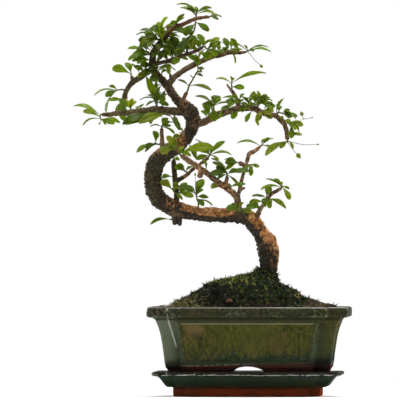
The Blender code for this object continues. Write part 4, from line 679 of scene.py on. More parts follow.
def grain(points, size, seed=0.0):
    """Smooth noise from -1 to 1 at points in millimetres."""
    rows = np.asarray(points, float) / size + seed
    return np.array([noise.noise(Vector(row)) for row in rows])


# Finishes

def bisque(finish, clay, burnt):
    """Unglazed fired clay: its colour and fine height."""
    speck = finish.noise(900, 3)
    broad = finish.noise(45, 4, 0.6)
    colour = finish.mix(broad.rise(0.35, 0.65), clay, burnt)
    return finish.shaded(colour, speck.rise(0.2, 0.8) * 0.5 + 0.75), speck


def olive_glaze(colours):
    """Mottled olive glaze that ran down the panels, thin on edges, over a bare clay foot, with
    painted highlights and painted shade.
    """
    finish = Finish("olive_glaze")
    panel, edge, pool = finish.attribute("glaze")
    side, height = finish.axis(0), finish.axis(2)
    broad = finish.noise(38, 4, 0.55)
    streaks = finish.noise(1.0, 4, 0.6, place=finish.scaled((560, 560, 62)))
    mottle = finish.noise(330, 4, 0.65)
    # Inside the panels
    inside = finish.mix((streaks * 0.6 + mottle * 0.4).rise(0.36, 0.64), colours.olive,
                        (0.078, 0.080, 0.008))
    inside = finish.mix(broad.rise(0.54, 0.66) * 0.6, inside, (0.10, 0.068, 0.02))
    inside = finish.mix(side.size().rise(0.04, 0.01) * 0.25, inside, (0.09, 0.10, 0.012))
    low = (height + (streaks - 0.5) * 0.034 + (broad - 0.5) * 0.03).rise(0.047, 0.038)
    ragged = (broad - 0.5) * 0.05 + (mottle - 0.5) * 0.02
    brown = (side + ragged).band(-0.064, -0.052, 0.008) * (height + ragged).rise(0.05, 0.062)
    inside = finish.mix(brown * 0.65, inside, (0.15, 0.095, 0.038))
    inside = finish.mix(low * 0.75, inside, (0.012, 0.024, 0.012))
    inside = finish.mix(low * mottle.rise(0.5, 0.6) * 0.5, inside, (0.06, 0.085, 0.055))
    # Frames and lip
    frames = finish.mix(height.rise(0.066, 0.074) * 0.85, colours.frame_glaze,
                        (0.042, 0.042, 0.010))
    frames = finish.mix(mottle.rise(0.42, 0.62) * 0.6, frames, (0.018, 0.028, 0.014))
    frames = finish.mix(height.rise(0.079, 0.081) * broad.rise(0.46, 0.6) * 0.7, frames,
                        (0.08, 0.056, 0.028))
    # Painted light: the frames are lighter at the left end, where the light falls.
    frames = finish.mix(side.rise(-0.066, -0.08) * 0.7, frames, (0.15, 0.17, 0.11))
    frames = finish.mix(side.rise(0.068, 0.078) * 0.7, frames, inside)
    lip = height.rise(0.079, 0.0805)
    dull = finish.mix(side.rise(-0.08, -0.088), (0.030, 0.031, 0.011), (0.034, 0.023, 0.013))
    frames = finish.mix(lip * mottle.rise(0.3, 0.5) * 0.9, frames, dull)
    frames = finish.mix(lip * mottle.rise(0.54, 0.6) * 0.8, frames, (0.010, 0.012, 0.008))
    frames = finish.mix(lip * (mottle + broad).rise(0.88, 0.8) * 0.6, frames, (0.09, 0.095, 0.055))
    # Painted highlight along the lip's top edge.
    frames = finish.mix(height.rise(0.0887, 0.0893) * 0.26, frames, (0.45, 0.45, 0.38))
    # Both together, with the marks that cross them
    base = finish.mix(panel, frames, inside)
    # Painted highlight along the bead above the panels.
    ridge = height.band(0.0725, 0.0731, 0.0005) * (1 - side.size().rise(0.064, 0.068))
    base = finish.mix(ridge * 0.5, base, (0.30, 0.29, 0.17))
    # Painted shadow in the groove under the lip, and glaze pooled thick in hollows.
    under_lip_shadow = height.band(0.0766, 0.0785, 0.0009)
    base = finish.mix((under_lip_shadow * 0.75).most(pool * 0.4), base, (0.015, 0.019, 0.009))
    base = finish.mix(edge * mottle.rise(0.25, 0.55), base, (0.40, 0.40, 0.31))
    # Painted highlight down the front of the left corner.
    corner_highlight = (side + height * 0.3).band(-0.0569, -0.0557, 0.0005)
    corner_highlight = corner_highlight * height.band(0.052, 0.075, 0.004) * finish.axis(1).rise(-0.02, -0.03)
    base = finish.mix(corner_highlight * mottle.rise(0.35, 0.5) * 0.7, base, (0.5, 0.52, 0.46))
    # The glaze's lower end: it grows darker towards the bottom, then it rolls up, and the clay
    # below is bare
    line = finish.noise(60, 3) * 0.0022 + height - side * 0.022
    lower_darkening = (line + (mottle - 0.5) * 0.01).rise(0.043, 0.034) * 0.65
    base = finish.mix(lower_darkening, base, (0.012, 0.018, 0.011))
    base = finish.mix(line.rise(0.0322, 0.0335), (0.058, 0.014, 0.008), base)
    # The rolled glaze edge is a paler line, kept to the left as a painted highlight.
    rolled_edge_and_highlight = line.band(0.0333, 0.0339, 0.0005) * mottle.rise(0.4, 0.55) * side.rise(0.03, -0.02)
    base = finish.mix(rolled_edge_and_highlight * 0.6, base, (0.20, 0.19, 0.14))
    under = line.rise(0.0292, 0.031)
    # Near black low at both ends: painted shade at the feet of the corner notches, with glaze
    # pooled there.
    ends = side.size().rise(0.056, 0.07) * line.rise(0.041, 0.033)
    base = finish.mix(ends * 0.85, base, (0.007, 0.007, 0.005))
    clay, speck = bisque(finish, (0.045, 0.007, 0.004), (0.016, 0.005, 0.003))
    colour = finish.mix(under, clay, base)
    craze = finish.cells(520, "DISTANCE_TO_EDGE").rise(0.0, 0.04)
    relief = finish.bump(mottle * 0.6 + streaks * 0.4, 0.00035, 0.6)
    relief = finish.bump(craze * under, 0.00004, 0.5, relief)
    relief = finish.bump(speck * (1 - under), 0.0002, 0.8, relief)
    rough = 0.1 + mottle * 0.16 + (1 - under) * 0.5
    return finish.done(finish.shader(Base_Color=colour, Roughness=rough, IOR=1.45,
                                     Specular_IOR_Level=0.5, Normal=relief))


def dark_glaze(colours):
    """Dark blue-green glaze, nearly black, with a painted highlight along the rim and pale where
    thin on edges, over a clay foot.
    """
    finish = Finish("dark_glaze")
    _, edge, pool = finish.attribute("glaze")
    height = finish.axis(2)
    broad = finish.noise(40, 4, 0.6)
    mottle = finish.noise(300, 4, 0.65)
    base = finish.mix(broad.rise(0.4, 0.62), colours.saucer_glaze, (0.014, 0.017, 0.005))
    base = finish.mix(height.rise(0.0125, 0.0185) * 0.6, base, (0.024, 0.042, 0.026))
    base = finish.mix(pool * 0.7, base, (0.006, 0.008, 0.005))
    line = (finish.noise(110, 2) - 0.5) * 0.0026 + height
    base = finish.mix(line.rise(0.0204, 0.0212) * 0.9, base, (0.006, 0.007, 0.004))
    # Painted highlight along the rim's edge, with pale glaze where it is thin on edges.
    rim_highlight_and_thin_glaze = line.band(0.0215, 0.0220, 0.0003) * mottle.rise(0.36, 0.55)
    rim_highlight_and_thin_glaze = rim_highlight_and_thin_glaze.most(edge * mottle.rise(0.48, 0.65) * 0.3)
    base = finish.mix(rim_highlight_and_thin_glaze * 0.8, base, (0.5, 0.48, 0.42))
    under = (finish.noise(70, 3) * 0.0016 + height).rise(0.0096, 0.0108)
    clay, speck = bisque(finish, colours.terracotta, (0.13, 0.02, 0.002))
    # Darker at the top of the foot: painted shade under the saucer's body, with a run of glaze.
    clay = finish.mix(height.rise(0.0055, 0.0095) * 0.7, clay, (0.06, 0.024, 0.002))
    clay = finish.mix(finish.axis(0).rise(-0.03, -0.07) * 0.5, clay, (0.05, 0.018, 0.003))
    colour = finish.mix(under, clay, base)
    relief = finish.bump(mottle, 0.0003, 0.6)
    relief = finish.bump(speck * (1 - under), 0.0002, 0.8, relief)
    rough = 0.1 + mottle * 0.12 + (1 - under) * 0.5
    return finish.done(finish.shader(Base_Color=colour, Roughness=rough, IOR=1.45,
                                     Specular_IOR_Level=0.25, Normal=relief))


# How much light each colour of leaf lets through
GLOW = {"dark": 0.75, "bright": 0.75, "young": 1.0}


def leaf_finish(colours, name):
    """Glossy leaf that lets light through: rib, side veins, painted highlight on the rims, pale
    underside and green stem.
    """
    finish = Finish("leaf_" + name)
    tone, under, woody = finish.attribute("tint")
    flat = finish.node("ShaderNodeUVMap", {"uv_map": "blade"})
    across = finish.node("ShaderNodeSeparateXYZ", None, {0: flat}, 0)
    along = finish.node("ShaderNodeSeparateXYZ", None, {0: flat}, 1)
    away = (across - 0.5).size() * 2
    broad = finish.noise(170, 3)
    fine = finish.noise(1500, 2)
    leafy = tone + (broad - 0.5) * 0.5 + (along - 0.5) * 0.06
    base = leafy.ramp((0.0, (0.026, 0.05, 0.003)), (0.22, colours.leaf_dark),
                      (0.52, colours.leaf_bright), (0.9, colours.leaf_young))
    lot = (tone * 173).sine()
    base = finish.mix(lot.rise(0.4, 0.9) * 0.5, base, (0.24, 0.235, 0.012))
    base = finish.mix(lot.rise(-0.55, -0.95) * 0.5, base, (0.10, 0.145, 0.06))
    rib = (1 - away.rise(0.03, 0.13)) * (1 - woody)
    ray = ((along * 1.15 - away * 0.2) * 47).sine().rise(0.78, 1.0) * away.rise(0.08, 0.2)
    vein = rib.most(ray * 0.6) * along.rise(0.02, 0.12)
    base = finish.mix(vein * 0.4, base, (0.26, 0.37, 0.05))
    # Painted highlight along the leaf rims, where light from behind catches them.
    base = finish.mix(away.rise(0.86, 1.0) * 0.35, base, (0.25, 0.29, 0.02))
    specks = (1 - finish.cells(2200).rise(0.1, 0.2)) * 0.35
    base = finish.mix(specks * (1 - under), base, (0.28, 0.38, 0.12))
    base = finish.mix(under * 0.35, base, (0.2, 0.28, 0.07))
    base = finish.mix((broad * fine).rise(0.33, 0.4) * 0.12, base, (0.2, 0.11, 0.02))
    stem = finish.mix(broad.rise(0.4, 0.6), colours.stem, (0.16, 0.09, 0.03))
    base = finish.mix(woody.rise(0.1, 0.7), base, stem)
    relief = finish.bump(vein, 0.0002, 0.7)
    relief = finish.bump(fine, 0.00006, 0.6, relief)
    skin = finish.shader(Base_Color=base, Roughness=0.3 + under * 0.2 + woody * 0.2,
                         IOR=1.45, Specular_IOR_Level=0.25, Normal=relief)
    glow = paint([part * GLOW[name] for part in colours.leaf_glow])
    through = finish.node("ShaderNodeBsdfTranslucent", None, {"Color": glow, "Normal": relief})
    share = (1 - woody.rise(0.1, 0.5)) * (0.5 - vein * 0.15 + (tone - 0.5) * 0.2)
    return finish.done(finish.node("ShaderNodeMixShader", None, {0: share, 1: skin, 2: through}))


def bark_finish(colours):
    """Grey-brown bark with dark cracks and flakes of warm wood, partly painted light, and painted
    shade under the crown; thin twigs are plainer.
    """
    finish = Finish("bark")
    warm, crack, young = finish.attribute("bark")
    x, z = finish.axis(0), finish.axis(2)
    broad = finish.noise(85, 4, 0.6)
    patch = finish.noise(300, 4, 0.65, 0.6)
    fine = finish.noise(1500, 3)
    specks = finish.noise(720, 4, 0.7)
    both = patch * 0.6 + specks * 0.25 + broad * 0.15
    grey = both.ramp((0.40, (0.022, 0.018, 0.012)), (0.5, colours.bark),
                     (0.6, (0.105, 0.096, 0.06)))
    grey = finish.mix((broad * 0.7 + patch * 0.3).rise(0.46, 0.56) * 0.6, grey,
                      (0.085, 0.048, 0.022))
    flake = both.ramp((0.41, (0.07, 0.022, 0.007)), (0.47, (0.27, 0.10, 0.028)),
                      (0.53, colours.bark_warm), (0.62, (0.64, 0.42, 0.18)))
    twig = both.ramp((0.42, (0.04, 0.022, 0.009)), (0.5, colours.twig), (0.6, (0.34, 0.22, 0.12)))
    base = finish.mix(young * z.rise(0.176, 0.19), grey, twig)
    bite = warm + (both - 0.5) * 2.2 * warm.rise(0.02, 0.3)
    base = finish.mix(bite.rise(0.2, 0.7), base, flake)
    base = finish.mix(crack * patch.rise(0.3, 0.6) * (1 - warm) * 0.75, base,
                      (0.012, 0.009, 0.005))
    mossy = (x.rise(-0.085, -0.1) * z.rise(0.17, 0.19)).most(
        x.rise(-0.064, -0.08) * z.band(0.27, 0.292, 0.004))
    dim = x.band(-0.0775, -0.069, 0.002) * z.band(0.19, 0.238, 0.004) * young
    base = finish.mix(dim * 0.75, base, (0.02, 0.02, 0.009))
    # Painted shade on the trunk under the crown's leaves.
    head = (z + (broad - 0.5) * 0.02).band(0.312, 0.36, 0.006) * x.rise(-0.038, -0.048)
    base = finish.mix(head * 0.7, base, (0.045, 0.032, 0.012))
    base = finish.mix(mossy * patch.rise(0.38, 0.55) * 0.55, base, (0.06, 0.062, 0.016))
    tip = z.rise(0.352, 0.37) * young
    base = finish.mix(tip * 0.6, base, (0.26, 0.12, 0.07))
    foot = (z + (patch - 0.5) * 0.05 + (broad - 0.5) * 0.04).rise(0.157, 0.132)
    base = finish.mix(foot * 0.8, base, (0.014, 0.014, 0.006))
    base = finish.shaded(base, fine * 0.8 + 0.6)
    relief = finish.bump(patch, 0.0007, 0.8)
    relief = finish.bump(fine, 0.0002, 0.8, relief)
    return finish.done(finish.shader(Base_Color=base, Roughness=0.86 - warm * 0.12, IOR=1.4,
                                     Normal=relief))


def soil_finish(colours):
    """Dark, crumbly earth with paler grains."""
    finish = Finish("soil")
    tint = finish.value("tint")
    patch = finish.noise(420, 4, 0.65)
    fine = finish.noise(1700, 3)
    mixed = tint * 0.6 + patch * 0.5
    base = mixed.ramp((0.0, (0.012, 0.008, 0.005)), (0.45, colours.soil),
                      (0.85, (0.09, 0.055, 0.03)), (1.0, (0.2, 0.15, 0.1)))
    relief = finish.bump(patch * 0.7 + fine * 0.3, 0.0007, 0.9)
    return finish.done(finish.shader(Base_Color=base, Roughness=0.92, IOR=1.35, Normal=relief))


def moss_finish(colours):
    """Moss from nearly black green in the carpet to yellow-green shoots, with straw strands."""
    finish = Finish("moss")
    tint = finish.value("tint")
    broad = finish.noise(60, 3, 0.6)
    patch = finish.noise(270, 3, 0.6)
    x = finish.axis(0) + (broad - 0.5) * 0.09
    z = finish.axis(2)
    # Painted light: the mound's top is lighter where light falls; the left end is its own yellower
    # moss, and low left of the middle it is darker.
    painted_light_and_colour = (z.rise(0.107, 0.117) * x.rise(0.016, -0.004) * 0.5 + x.rise(-0.05, -0.064) * 0.35
             - x.band(-0.058, -0.02, 0.008) * z.rise(0.113, 0.107) * 0.3)
    shade = tint.least(1.0) * 0.5 + (broad - 0.5) * 1.2 + (patch - 0.5) * 3.8 + painted_light_and_colour + 0.01
    base = shade.ramp((0.0, (0.006, 0.009, 0.003)), (0.45, colours.moss_dark),
                      (0.75, colours.moss_bright), (1.0, (0.3, 0.3, 0.06)))
    dry = x.rise(-0.046, -0.06) * z.rise(0.104, 0.098) * patch.rise(0.42, 0.56)
    base = finish.mix(dry * 0.6, base, (0.26, 0.23, 0.10))
    straw = finish.mix(patch.rise(0.3, 0.7), (0.10, 0.06, 0.02), (0.32, 0.27, 0.10))
    base = finish.mix(tint.rise(1.4, 1.6), base, straw)
    stone = finish.mix(patch.rise(0.3, 0.7), (0.08, 0.03, 0.02), (0.19, 0.09, 0.06))
    base = finish.mix(tint.rise(2.4, 2.6), base, stone)
    base = finish.mix(tint.rise(3.4, 3.6), base, (0.024, 0.016, 0.010))
    relief = finish.bump(patch, 0.0006, 0.9)
    return finish.done(finish.shader(Base_Color=base, Roughness=0.88, IOR=1.35, Normal=relief))


def net_finish(colours):
    """Moulded black net with a fine grain."""
    finish = Finish("net_plastic")
    fine = finish.noise(1800, 3)
    base = finish.mix(fine.rise(0.3, 0.7), colours.net, (0.03, 0.03, 0.028))
    relief = finish.bump(fine, 0.0001, 0.6)
    return finish.done(finish.shader(Base_Color=base, Roughness=0.55 + fine * 0.1, IOR=1.45,
                                     Normal=relief))


def floor_finish():
    """Plain pale paper."""
    finish = Finish("pale_floor")
    fine = finish.noise(900, 2)
    base = finish.mix(fine.rise(0.4, 0.6) * 0.3, (0.96, 0.96, 0.955), (0.94, 0.94, 0.94))
    return finish.done(finish.shader(Base_Color=base, Roughness=0.9, IOR=1.3))


# Pot and saucer

def columns(reach, end, near):
    """Places along a straight wall from -end to end, crowded at the panel's edge and the arch."""
    middle = np.arange(0.0, near + ARCH_STEP / 2, ARCH_STEP)
    start = middle[-1]
    edge = reach + np.array((-4.0, -2.6, -1.7, -1.1, -0.6, -0.2, 0.2, 0.6, 1.1, 1.7, 2.4))
    run = np.linspace(start, edge[0], 6)[1:-1]
    half = np.concatenate((middle, run, edge))
    half = start + (half - start) / max(1.0, (half[-1] - start) / (end - start - 0.4))
    half[:len(middle)] = middle
    return np.concatenate((-half[::-1], half[1:]))


def fine_outline(half_x, half_y, notch_x, notch_y, radius, reach_x, reach_y, arc=7):
    """Points round a rectangle with notched, rounded corners.

    Each row holds the place, the way outwards and the wall (1 long, 2 short, 0 in between).
    """
    quarter = [(half_x, half_y - notch_y), (half_x - notch_x, half_y - notch_y),
               (half_x - notch_x, half_y)]
    corners = []
    for sign_x, sign_y in ((1, 1), (-1, 1), (-1, -1), (1, -1)):
        turned = quarter if sign_x * sign_y > 0 else quarter[::-1]
        corners += [Vector((x * sign_x, y * sign_y)) for x, y in turned]
    rows = []
    for i, corner in enumerate(corners):
        following = corners[(i + 1) % 12]
        before = (corners[i - 1] - corner).normalized()
        after = (following - corner).normalized()
        bend = 1.0 if before.x * after.y - before.y * after.x < 0 else -1.0
        centre = corner + (before + after) * radius
        for k in range(arc):
            angle = math.pi / 2 * k / (arc - 1)
            out = -(after * math.cos(angle) + before * math.sin(angle))
            spot = centre + out * radius
            rows.append((*spot, *(out * bend), 0))
        middle = (corner + following) / 2
        out = Vector((after.y, -after.x))
        end = (following - corner).length / 2 - radius
        if i % 3 < 2:
            places, wall = np.linspace(-end, end, 5)[1:-1], 0
        elif abs(after.x) > abs(after.y):
            places, wall = columns(reach_x, end, ARCH_SPAN[0]), 1
        else:
            places, wall = columns(reach_y, end, ARCH_SPAN[1]), 2
        for place in places:
            rows.append((*(middle + after * place), *out, wall))
    return np.array(rows)


POT_WALL = ((13.3, 73.6), (13.6, 74.4), (14.4, 75.0), (21.0, 77.9), (27.6, 80.7), (28.3, 81.2),
            (28.9, 81.9), (30.2, 82.35), (33.0, 82.6), (36.0, 83.0), (50.0, 84.8), (57.0, 85.8),
            (64.0, 87.2), (70.0, 89.0), (75.0, 91.2), (77.4, 92.7), (78.4, 94.2), (78.9, 96.4),
            (79.1, 98.4), (79.6, 99.8), (80.6, 100.5))
POT_LIP = ((82.5, 100.7), (85.0, 100.75), (87.2, 100.6), (88.4, 100.2), (89.1, 99.5),
           (89.45, 98.4), (89.5, 96.4), (89.3, 93.4), (89.35, 90.6), (89.1, 89.2), (88.4, 88.1),
           (87.2, 87.2), (84.0, 86.4), (76.0, 84.8), (60.0, 81.7), (37.0, 77.2))
POT_HOLLOW = ((31.0, 69.4), (30.7, 70.4), (29.8, 70.9), (24.0, 69.6), (14.4, 67.2), (13.5, 67.6),
              (13.3, 68.4))
WALL_ROWS = (13.3, 13.45, 13.7, 14.4, 16.5, 19.0, 21.5, 24.0, 26.2, 27.6, 28.3, 28.9, 29.5, 30.2,
             31.4, 32.8, 33.6, 34.1, 34.5, 34.8, 35.1, 35.4, 35.8, 36.4, 37.5, 39.5, 42.0, 45.0,
             48.0, 51.0, 54.0, 57.0, 60.0, 63.0, 66.0, 68.0, 69.5, 70.5, 71.1, 71.5, 71.8, 72.1,
             72.4, 72.8, 73.5, 74.5, 75.6, 76.6, 77.4, 78.0, 78.5, 78.9, 79.1, 79.4, 79.9, 80.6)
ARCH_TOP_ROW = 33.0


def profile(rows, places):
    """Values at places, between the rows of a table of place and value."""
    return np.interp(places, *zip(*rows))


def notch_at(z):
    """Size of the pot's corner notches: they widen upwards and again under the lip."""
    lip = smooth(z, LIP_START_Z, LIP_FULL_Z)
    return [float(np.interp(z, NOTCH_HEIGHTS, sizes) + more * lip)
            for sizes, more in zip((NOTCH_LONG, NOTCH_SHORT), LIP_NOTCH)]


def reach_at(z):
    """Half widths of the sunk panels on the long and the short walls."""
    share = np.clip((z - PANEL_BOTTOM_Z) / (PANEL_TOP_Z - PANEL_BOTTOM_Z), 0, 1)
    return [reach + PANEL_SPLAY * share for reach in PANEL_REACH]


def arch_at(along, half):
    """Height of the pot's lower edge: flat on its corner feet, arched between them."""
    away = np.abs(along)
    crown = ARCH_SPRING_Z + ARCH_RISE * np.sqrt(np.clip(1 - (away / half) ** 2, 0, 1))
    slope = ARCH_SPRING_Z - (away - half) * ARCH_SLOPE
    return np.maximum(POT_FOOT_Z, np.where(away < half, crown, slope))


def pot_outline(z, half):
    return fine_outline(half, half - POT_DEPTH_LESS, *notch_at(z), POT_CORNER, *reach_at(z))


def lower_edge(outline):
    """The arched lower edge's height at each point of an outline."""
    wall = outline[:, 4]
    edge = np.where(wall == 1, arch_at(outline[:, 0], ARCH_HALF[0]), POT_FOOT_Z)
    return np.where(wall == 2, arch_at(outline[:, 1], ARCH_HALF[1]), edge)


def on_wall(outline, z, halves):
    """Points of a wall whose heights vary along the row: each keeps to the wall's slope there."""
    points = level(outline, z)
    wall, way = outline[:, 4], outline[:, 2:4]
    for number, axis, less in ((1, 1, POT_DEPTH_LESS), (2, 0, 0.0)):
        here = wall == number
        points[here, axis] = (halves[here] - less) * np.sign(way[here, axis])
    return points


def panel_shape(outline, z):
    """How far the panel sinks each point, and how far inside the panel it lies."""
    reach_x, reach_y = reach_at(z)
    wall = outline[:, 4]
    side = np.where(wall == 1, reach_x - np.abs(outline[:, 0]), reach_y - np.abs(outline[:, 1]))
    inside = np.minimum(side, np.minimum(z - PANEL_BOTTOM_Z, PANEL_TOP_Z - z))
    inside = np.where(wall == 0, -9.0, inside)
    sink = PANEL_DEPTH * smooth(inside, -0.5, 0.9)
    bead = 0.4 * np.exp(-((inside + 1.5) / 0.9) ** 2)
    return bead - sink, inside


def pot_rows():
    """Rings of the pot from the hollow under its floor, round the foot, up and down inside.

    Each point's marks are how far it lies inside a panel and how far it stands out.
    """
    rings, marks = [], []
    for z, half in POT_HOLLOW:
        outline = fine_outline(half, half - POT_DEPTH_LESS, *HOLLOW_NOTCH, HOLLOW_CORNER,
                               *reach_at(z))
        edge = lower_edge(outline)
        share = (POT_UNDERSIDE_Z - z) / (POT_UNDERSIDE_Z - POT_FOOT_Z)
        heights = POT_UNDERSIDE_Z + (edge - POT_UNDERSIDE_Z) * share
        rings.append(level(outline, heights))
        marks.append(np.zeros((len(outline), 2)))
    for z in WALL_ROWS:
        outline = pot_outline(z, float(profile(POT_WALL, z)))
        edge = lower_edge(outline)
        share = min(1.0, (z - POT_FOOT_Z) / (ARCH_TOP_ROW - POT_FOOT_Z))
        heights = z + (edge - POT_FOOT_Z) * (1 - share)
        points = on_wall(outline, heights, profile(POT_WALL, heights))
        lift, inside = panel_shape(outline, z)
        points[:, :2] += outline[:, 2:4] * lift[:, None]
        rings.append(points)
        marks.append(np.column_stack((smooth(inside, -0.3, 0.8), lift)))
    for z, half in POT_LIP:
        rings.append(level(pot_outline(z, half), z))
        marks.append(np.zeros((len(rings[-1]), 2)))
    return rings, np.concatenate(marks)


def glaze_marks(mesh, panel, bead):
    """Where the glaze is thin on an edge and thick in a hollow, from the mesh's own curvature."""
    points, normals = points_of(mesh), normals_of(mesh)
    total, count = np.zeros((2, len(points)))
    ends = np.empty(len(mesh.edges) * 2, np.int32)
    mesh.edges.foreach_get("vertices", ends)
    first, second = ends.reshape(-1, 2).T
    chord = points[second] - points[first]
    length = np.maximum(np.linalg.norm(chord, axis=1), 1e-6)
    turn = ((normals[second] - normals[first]) * chord).sum(1) / length ** 2
    for end in (first, second):
        np.add.at(total, end, turn * length)
        np.add.at(count, end, length)
    curve = total / np.maximum(count, 1e-6)
    for _ in range(2):
        around, share = np.zeros((2, len(points)))
        for one, other in ((first, second), (second, first)):
            np.add.at(around, one, curve[other])
            np.add.at(share, one, 1)
        curve = 0.5 * curve + 0.5 * around / np.maximum(share, 1)
    thin = smooth(curve, 0.12, 0.5) * (1 - 0.85 * np.clip(bead / 0.4, 0, 1))
    tag(mesh, "glaze", np.column_stack((panel, thin, smooth(-curve, 0.02, 0.3))))


def cut_drains(piece):
    """Two round holes through the pot's floor."""
    bm = bmesh.new()
    for x in (-DRAIN_X, DRAIN_X):
        place = Matrix.Translation(Vector((x, 0, POT_FLOOR_Z - 3)) * MM)
        bmesh.ops.create_cone(bm, cap_ends=True, segments=40, radius1=DRAIN_RADIUS * MM,
                              radius2=DRAIN_RADIUS * MM, depth=20 * MM, matrix=place)
    mesh = bpy.data.meshes.new("drains")
    bm.to_mesh(mesh)
    bm.free()
    cutter = new_object("drains", mesh)
    step = piece.modifiers.new("drains", "BOOLEAN")
    step.operation = "DIFFERENCE"
    step.solver = "EXACT"
    step.object = cutter
    settle(piece)
    bpy.data.objects.remove(cutter, do_unlink=True)


def build_pot(sizes, colours):
    """The pot with its sunk panels, lip, arched foot and drainage holes."""
    rings, marks = pot_rows()
    mesh = loft("pot", rings)
    points, normals = points_of(mesh), normals_of(mesh)
    ripple = grain(points, 13.0, 5.0) * 0.7 + grain(points, 4.5, 9.0) * 0.3
    points += normals * (ripple * sizes.glaze_ripple / MM)[:, None]
    move_points(mesh, points)
    glaze_marks(mesh, *marks.T)
    pot = new_object("glazed_pot", mesh)
    cut_drains(pot)
    hand_over(pot, olive_glaze(colours), "olive_glaze", ["pot"], 38)


SAUCER_OUTSIDE = ((0.0, 71.6, 12.0), (0.15, 72.6, 12.0), (0.6, 73.3, 12.0), (1.4, 73.7, 12.0),
                  (3.4, 73.8, 12.0), (5.4, 73.8, 12.0), (7.4, 73.7, 12.0), (8.8, 73.7, 12.0),
                  (9.3, 74.3, 12.0), (9.4, 76.4, 12.2), (9.5, 78.4, 12.4), (9.9, 79.4, 12.5),
                  (10.7, 80.5, 12.5), (11.6, 81.3, 12.6), (13.6, 82.8, 12.8), (15.8, 84.4, 13.2),
                  (18.0, 86.1, 13.5), (19.4, 87.5, 13.9), (20.2, 88.9, 14.2), (20.5, 90.6, 14.6),
                  (20.7, 92.4, 14.9), (21.1, 93.5, 15.0), (21.9, 94.2, 15.0), (23.0, 94.4, 15.0),
                  (24.0, 94.1, 15.0), (24.6, 93.4, 15.0))
SAUCER_INSIDE = ((24.8, 92.4, 14.9), (24.7, 90.8, 14.6), (24.4, 89.2, 14.3), (23.6, 88.0, 14.1),
                 (22.4, 87.0, 13.9), (20.0, 84.9, 13.5), (17.0, 82.4, 13.0), (14.6, 80.6, 12.8),
                 (13.6, 79.6, 12.6), (13.1, 78.2, 12.5), (13.0, 76.0, 12.4))


def build_saucer(sizes, colours):
    """The saucer, from under its foot out to the rim and in over its floor."""
    rings = []
    for z, half, notch in SAUCER_OUTSIDE + SAUCER_INSIDE:
        outline = fine_outline(half, half - SAUCER_DEPTH_LESS, notch,
                               notch * SAUCER_NOTCH_SHARE, POT_CORNER, *SAUCER_REACH)
        rings.append(level(outline, z) + (SAUCER_SHIFT, 0, 0))
    mesh = loft("saucer", rings)
    points, normals = points_of(mesh), normals_of(mesh)
    ripple = grain(points, 12.0, 31.0) * 0.7 + grain(points, 4.0, 3.0) * 0.3
    keep = smooth(points[:, 2], 0.0, 2.0)
    points += normals * (ripple * keep * sizes.glaze_ripple / MM)[:, None]
    move_points(mesh, points)
    glaze_marks(mesh, np.zeros(len(points)), np.zeros(len(points)))
    saucer = new_object("glazed_saucer", mesh)
    hand_over(saucer, dark_glaze(colours), "dark_glaze", ["saucer"], 38)


# Soil and moss

# The mound's ridge (across and height) and the pot's inside (height and half length)
MOUND_RIDGE = ((-88, 89.8), (-80, 92), (-70, 95.6), (-60, 100), (-50, 106), (-40, 112),
               (-33, 115.6), (-20, 117.4), (-12, 120.4), (0, 121.6), (9, 123.4), (20, 120),
               (30, 113), (45, 107.4), (54, 100.4), (61, 95.6), (70, 93), (80, 91), (88, 89.8))
POT_INSIDE = ((POT_FLOOR_Z, 77.2), (87.6, 87.0))


def inner_half(z):
    """Half length of the space inside the pot."""
    return float(profile(POT_INSIDE, z))


def soil_top(x, y):
    """Height of the planting's soil; it falls away to the pot's walls."""
    ridge = profile(MOUND_RIDGE, x)
    half_y = inner_half(POT_RIM_Z) - POT_DEPTH_LESS
    across = np.minimum(1.0, np.abs(y) / half_y)
    ridge = ridge - (MOSS_THICKNESS + GAP) * np.interp(x, (54, 62), (1.0, 0.0))
    return SOIL_EDGE_Z + (ridge - SOIL_EDGE_Z) * (1 - across ** 2.6)


def soil_plan(half, notch):
    """Plan points just inside the pot's wall."""
    return fine_outline(half, half - POT_DEPTH_LESS, *notch, SOIL_CORNER, *SOIL_REACH,
                        SOIL_ARC)[::2, :2]


def planting_rows(count, inset, hole):
    """Plan points from the pot's wall in to a ring round the trunk."""
    outer = soil_plan(inner_half(SOIL_EDGE_Z) - inset, SOIL_NOTCH)
    centre = np.array(TRUNK_FOOT[:2])
    away = outer - centre
    ring = centre + away / np.linalg.norm(away, axis=1)[:, None] * hole
    return [outer + (ring - outer) * share for share in np.linspace(0, 1, count) ** 0.9]


def moss_edge(angle):
    """How far in from the wall the moss starts, as a share, all round."""
    return 0.05 + 0.02 * np.sin(angle * 7) + 0.015 * np.sin(angle * 13 + 1)


def build_soil(sizes, colours):
    """The pot's filling: a crumbly mound with loose crumbs on it."""
    low = soil_plan(inner_half(SOIL_FOOT_Z) - GAP, notch_at(POT_FLOOR_Z))
    tops = [level(plan, soil_top(*plan.T)) for plan in planting_rows(SOIL_ROWS, GAP, SOIL_HOLE)]
    mesh = loft("soil", [level(low, SOIL_FOOT_Z), *tops])
    points = points_of(mesh)
    top = smooth(points[:, 2], 80.0, 86.0)
    lumps = grain(points, 6.0, 2.0) * 0.9 + grain(points, 2.2, 6.0) * 0.7
    points[:, 2] += top * lumps
    move_points(mesh, points)
    ground = new_object("potting_soil", mesh)
    earth = soil_finish(colours)
    mesh.materials.append(earth)
    run_rule(ground, crumb_rule(earth), {"Crumb Size": sizes.crumb_size,
                                         "Crumbs per Area": CRUMBS_PER_AREA})
    hand_over(ground, earth, "soil", ["soil"], 50)


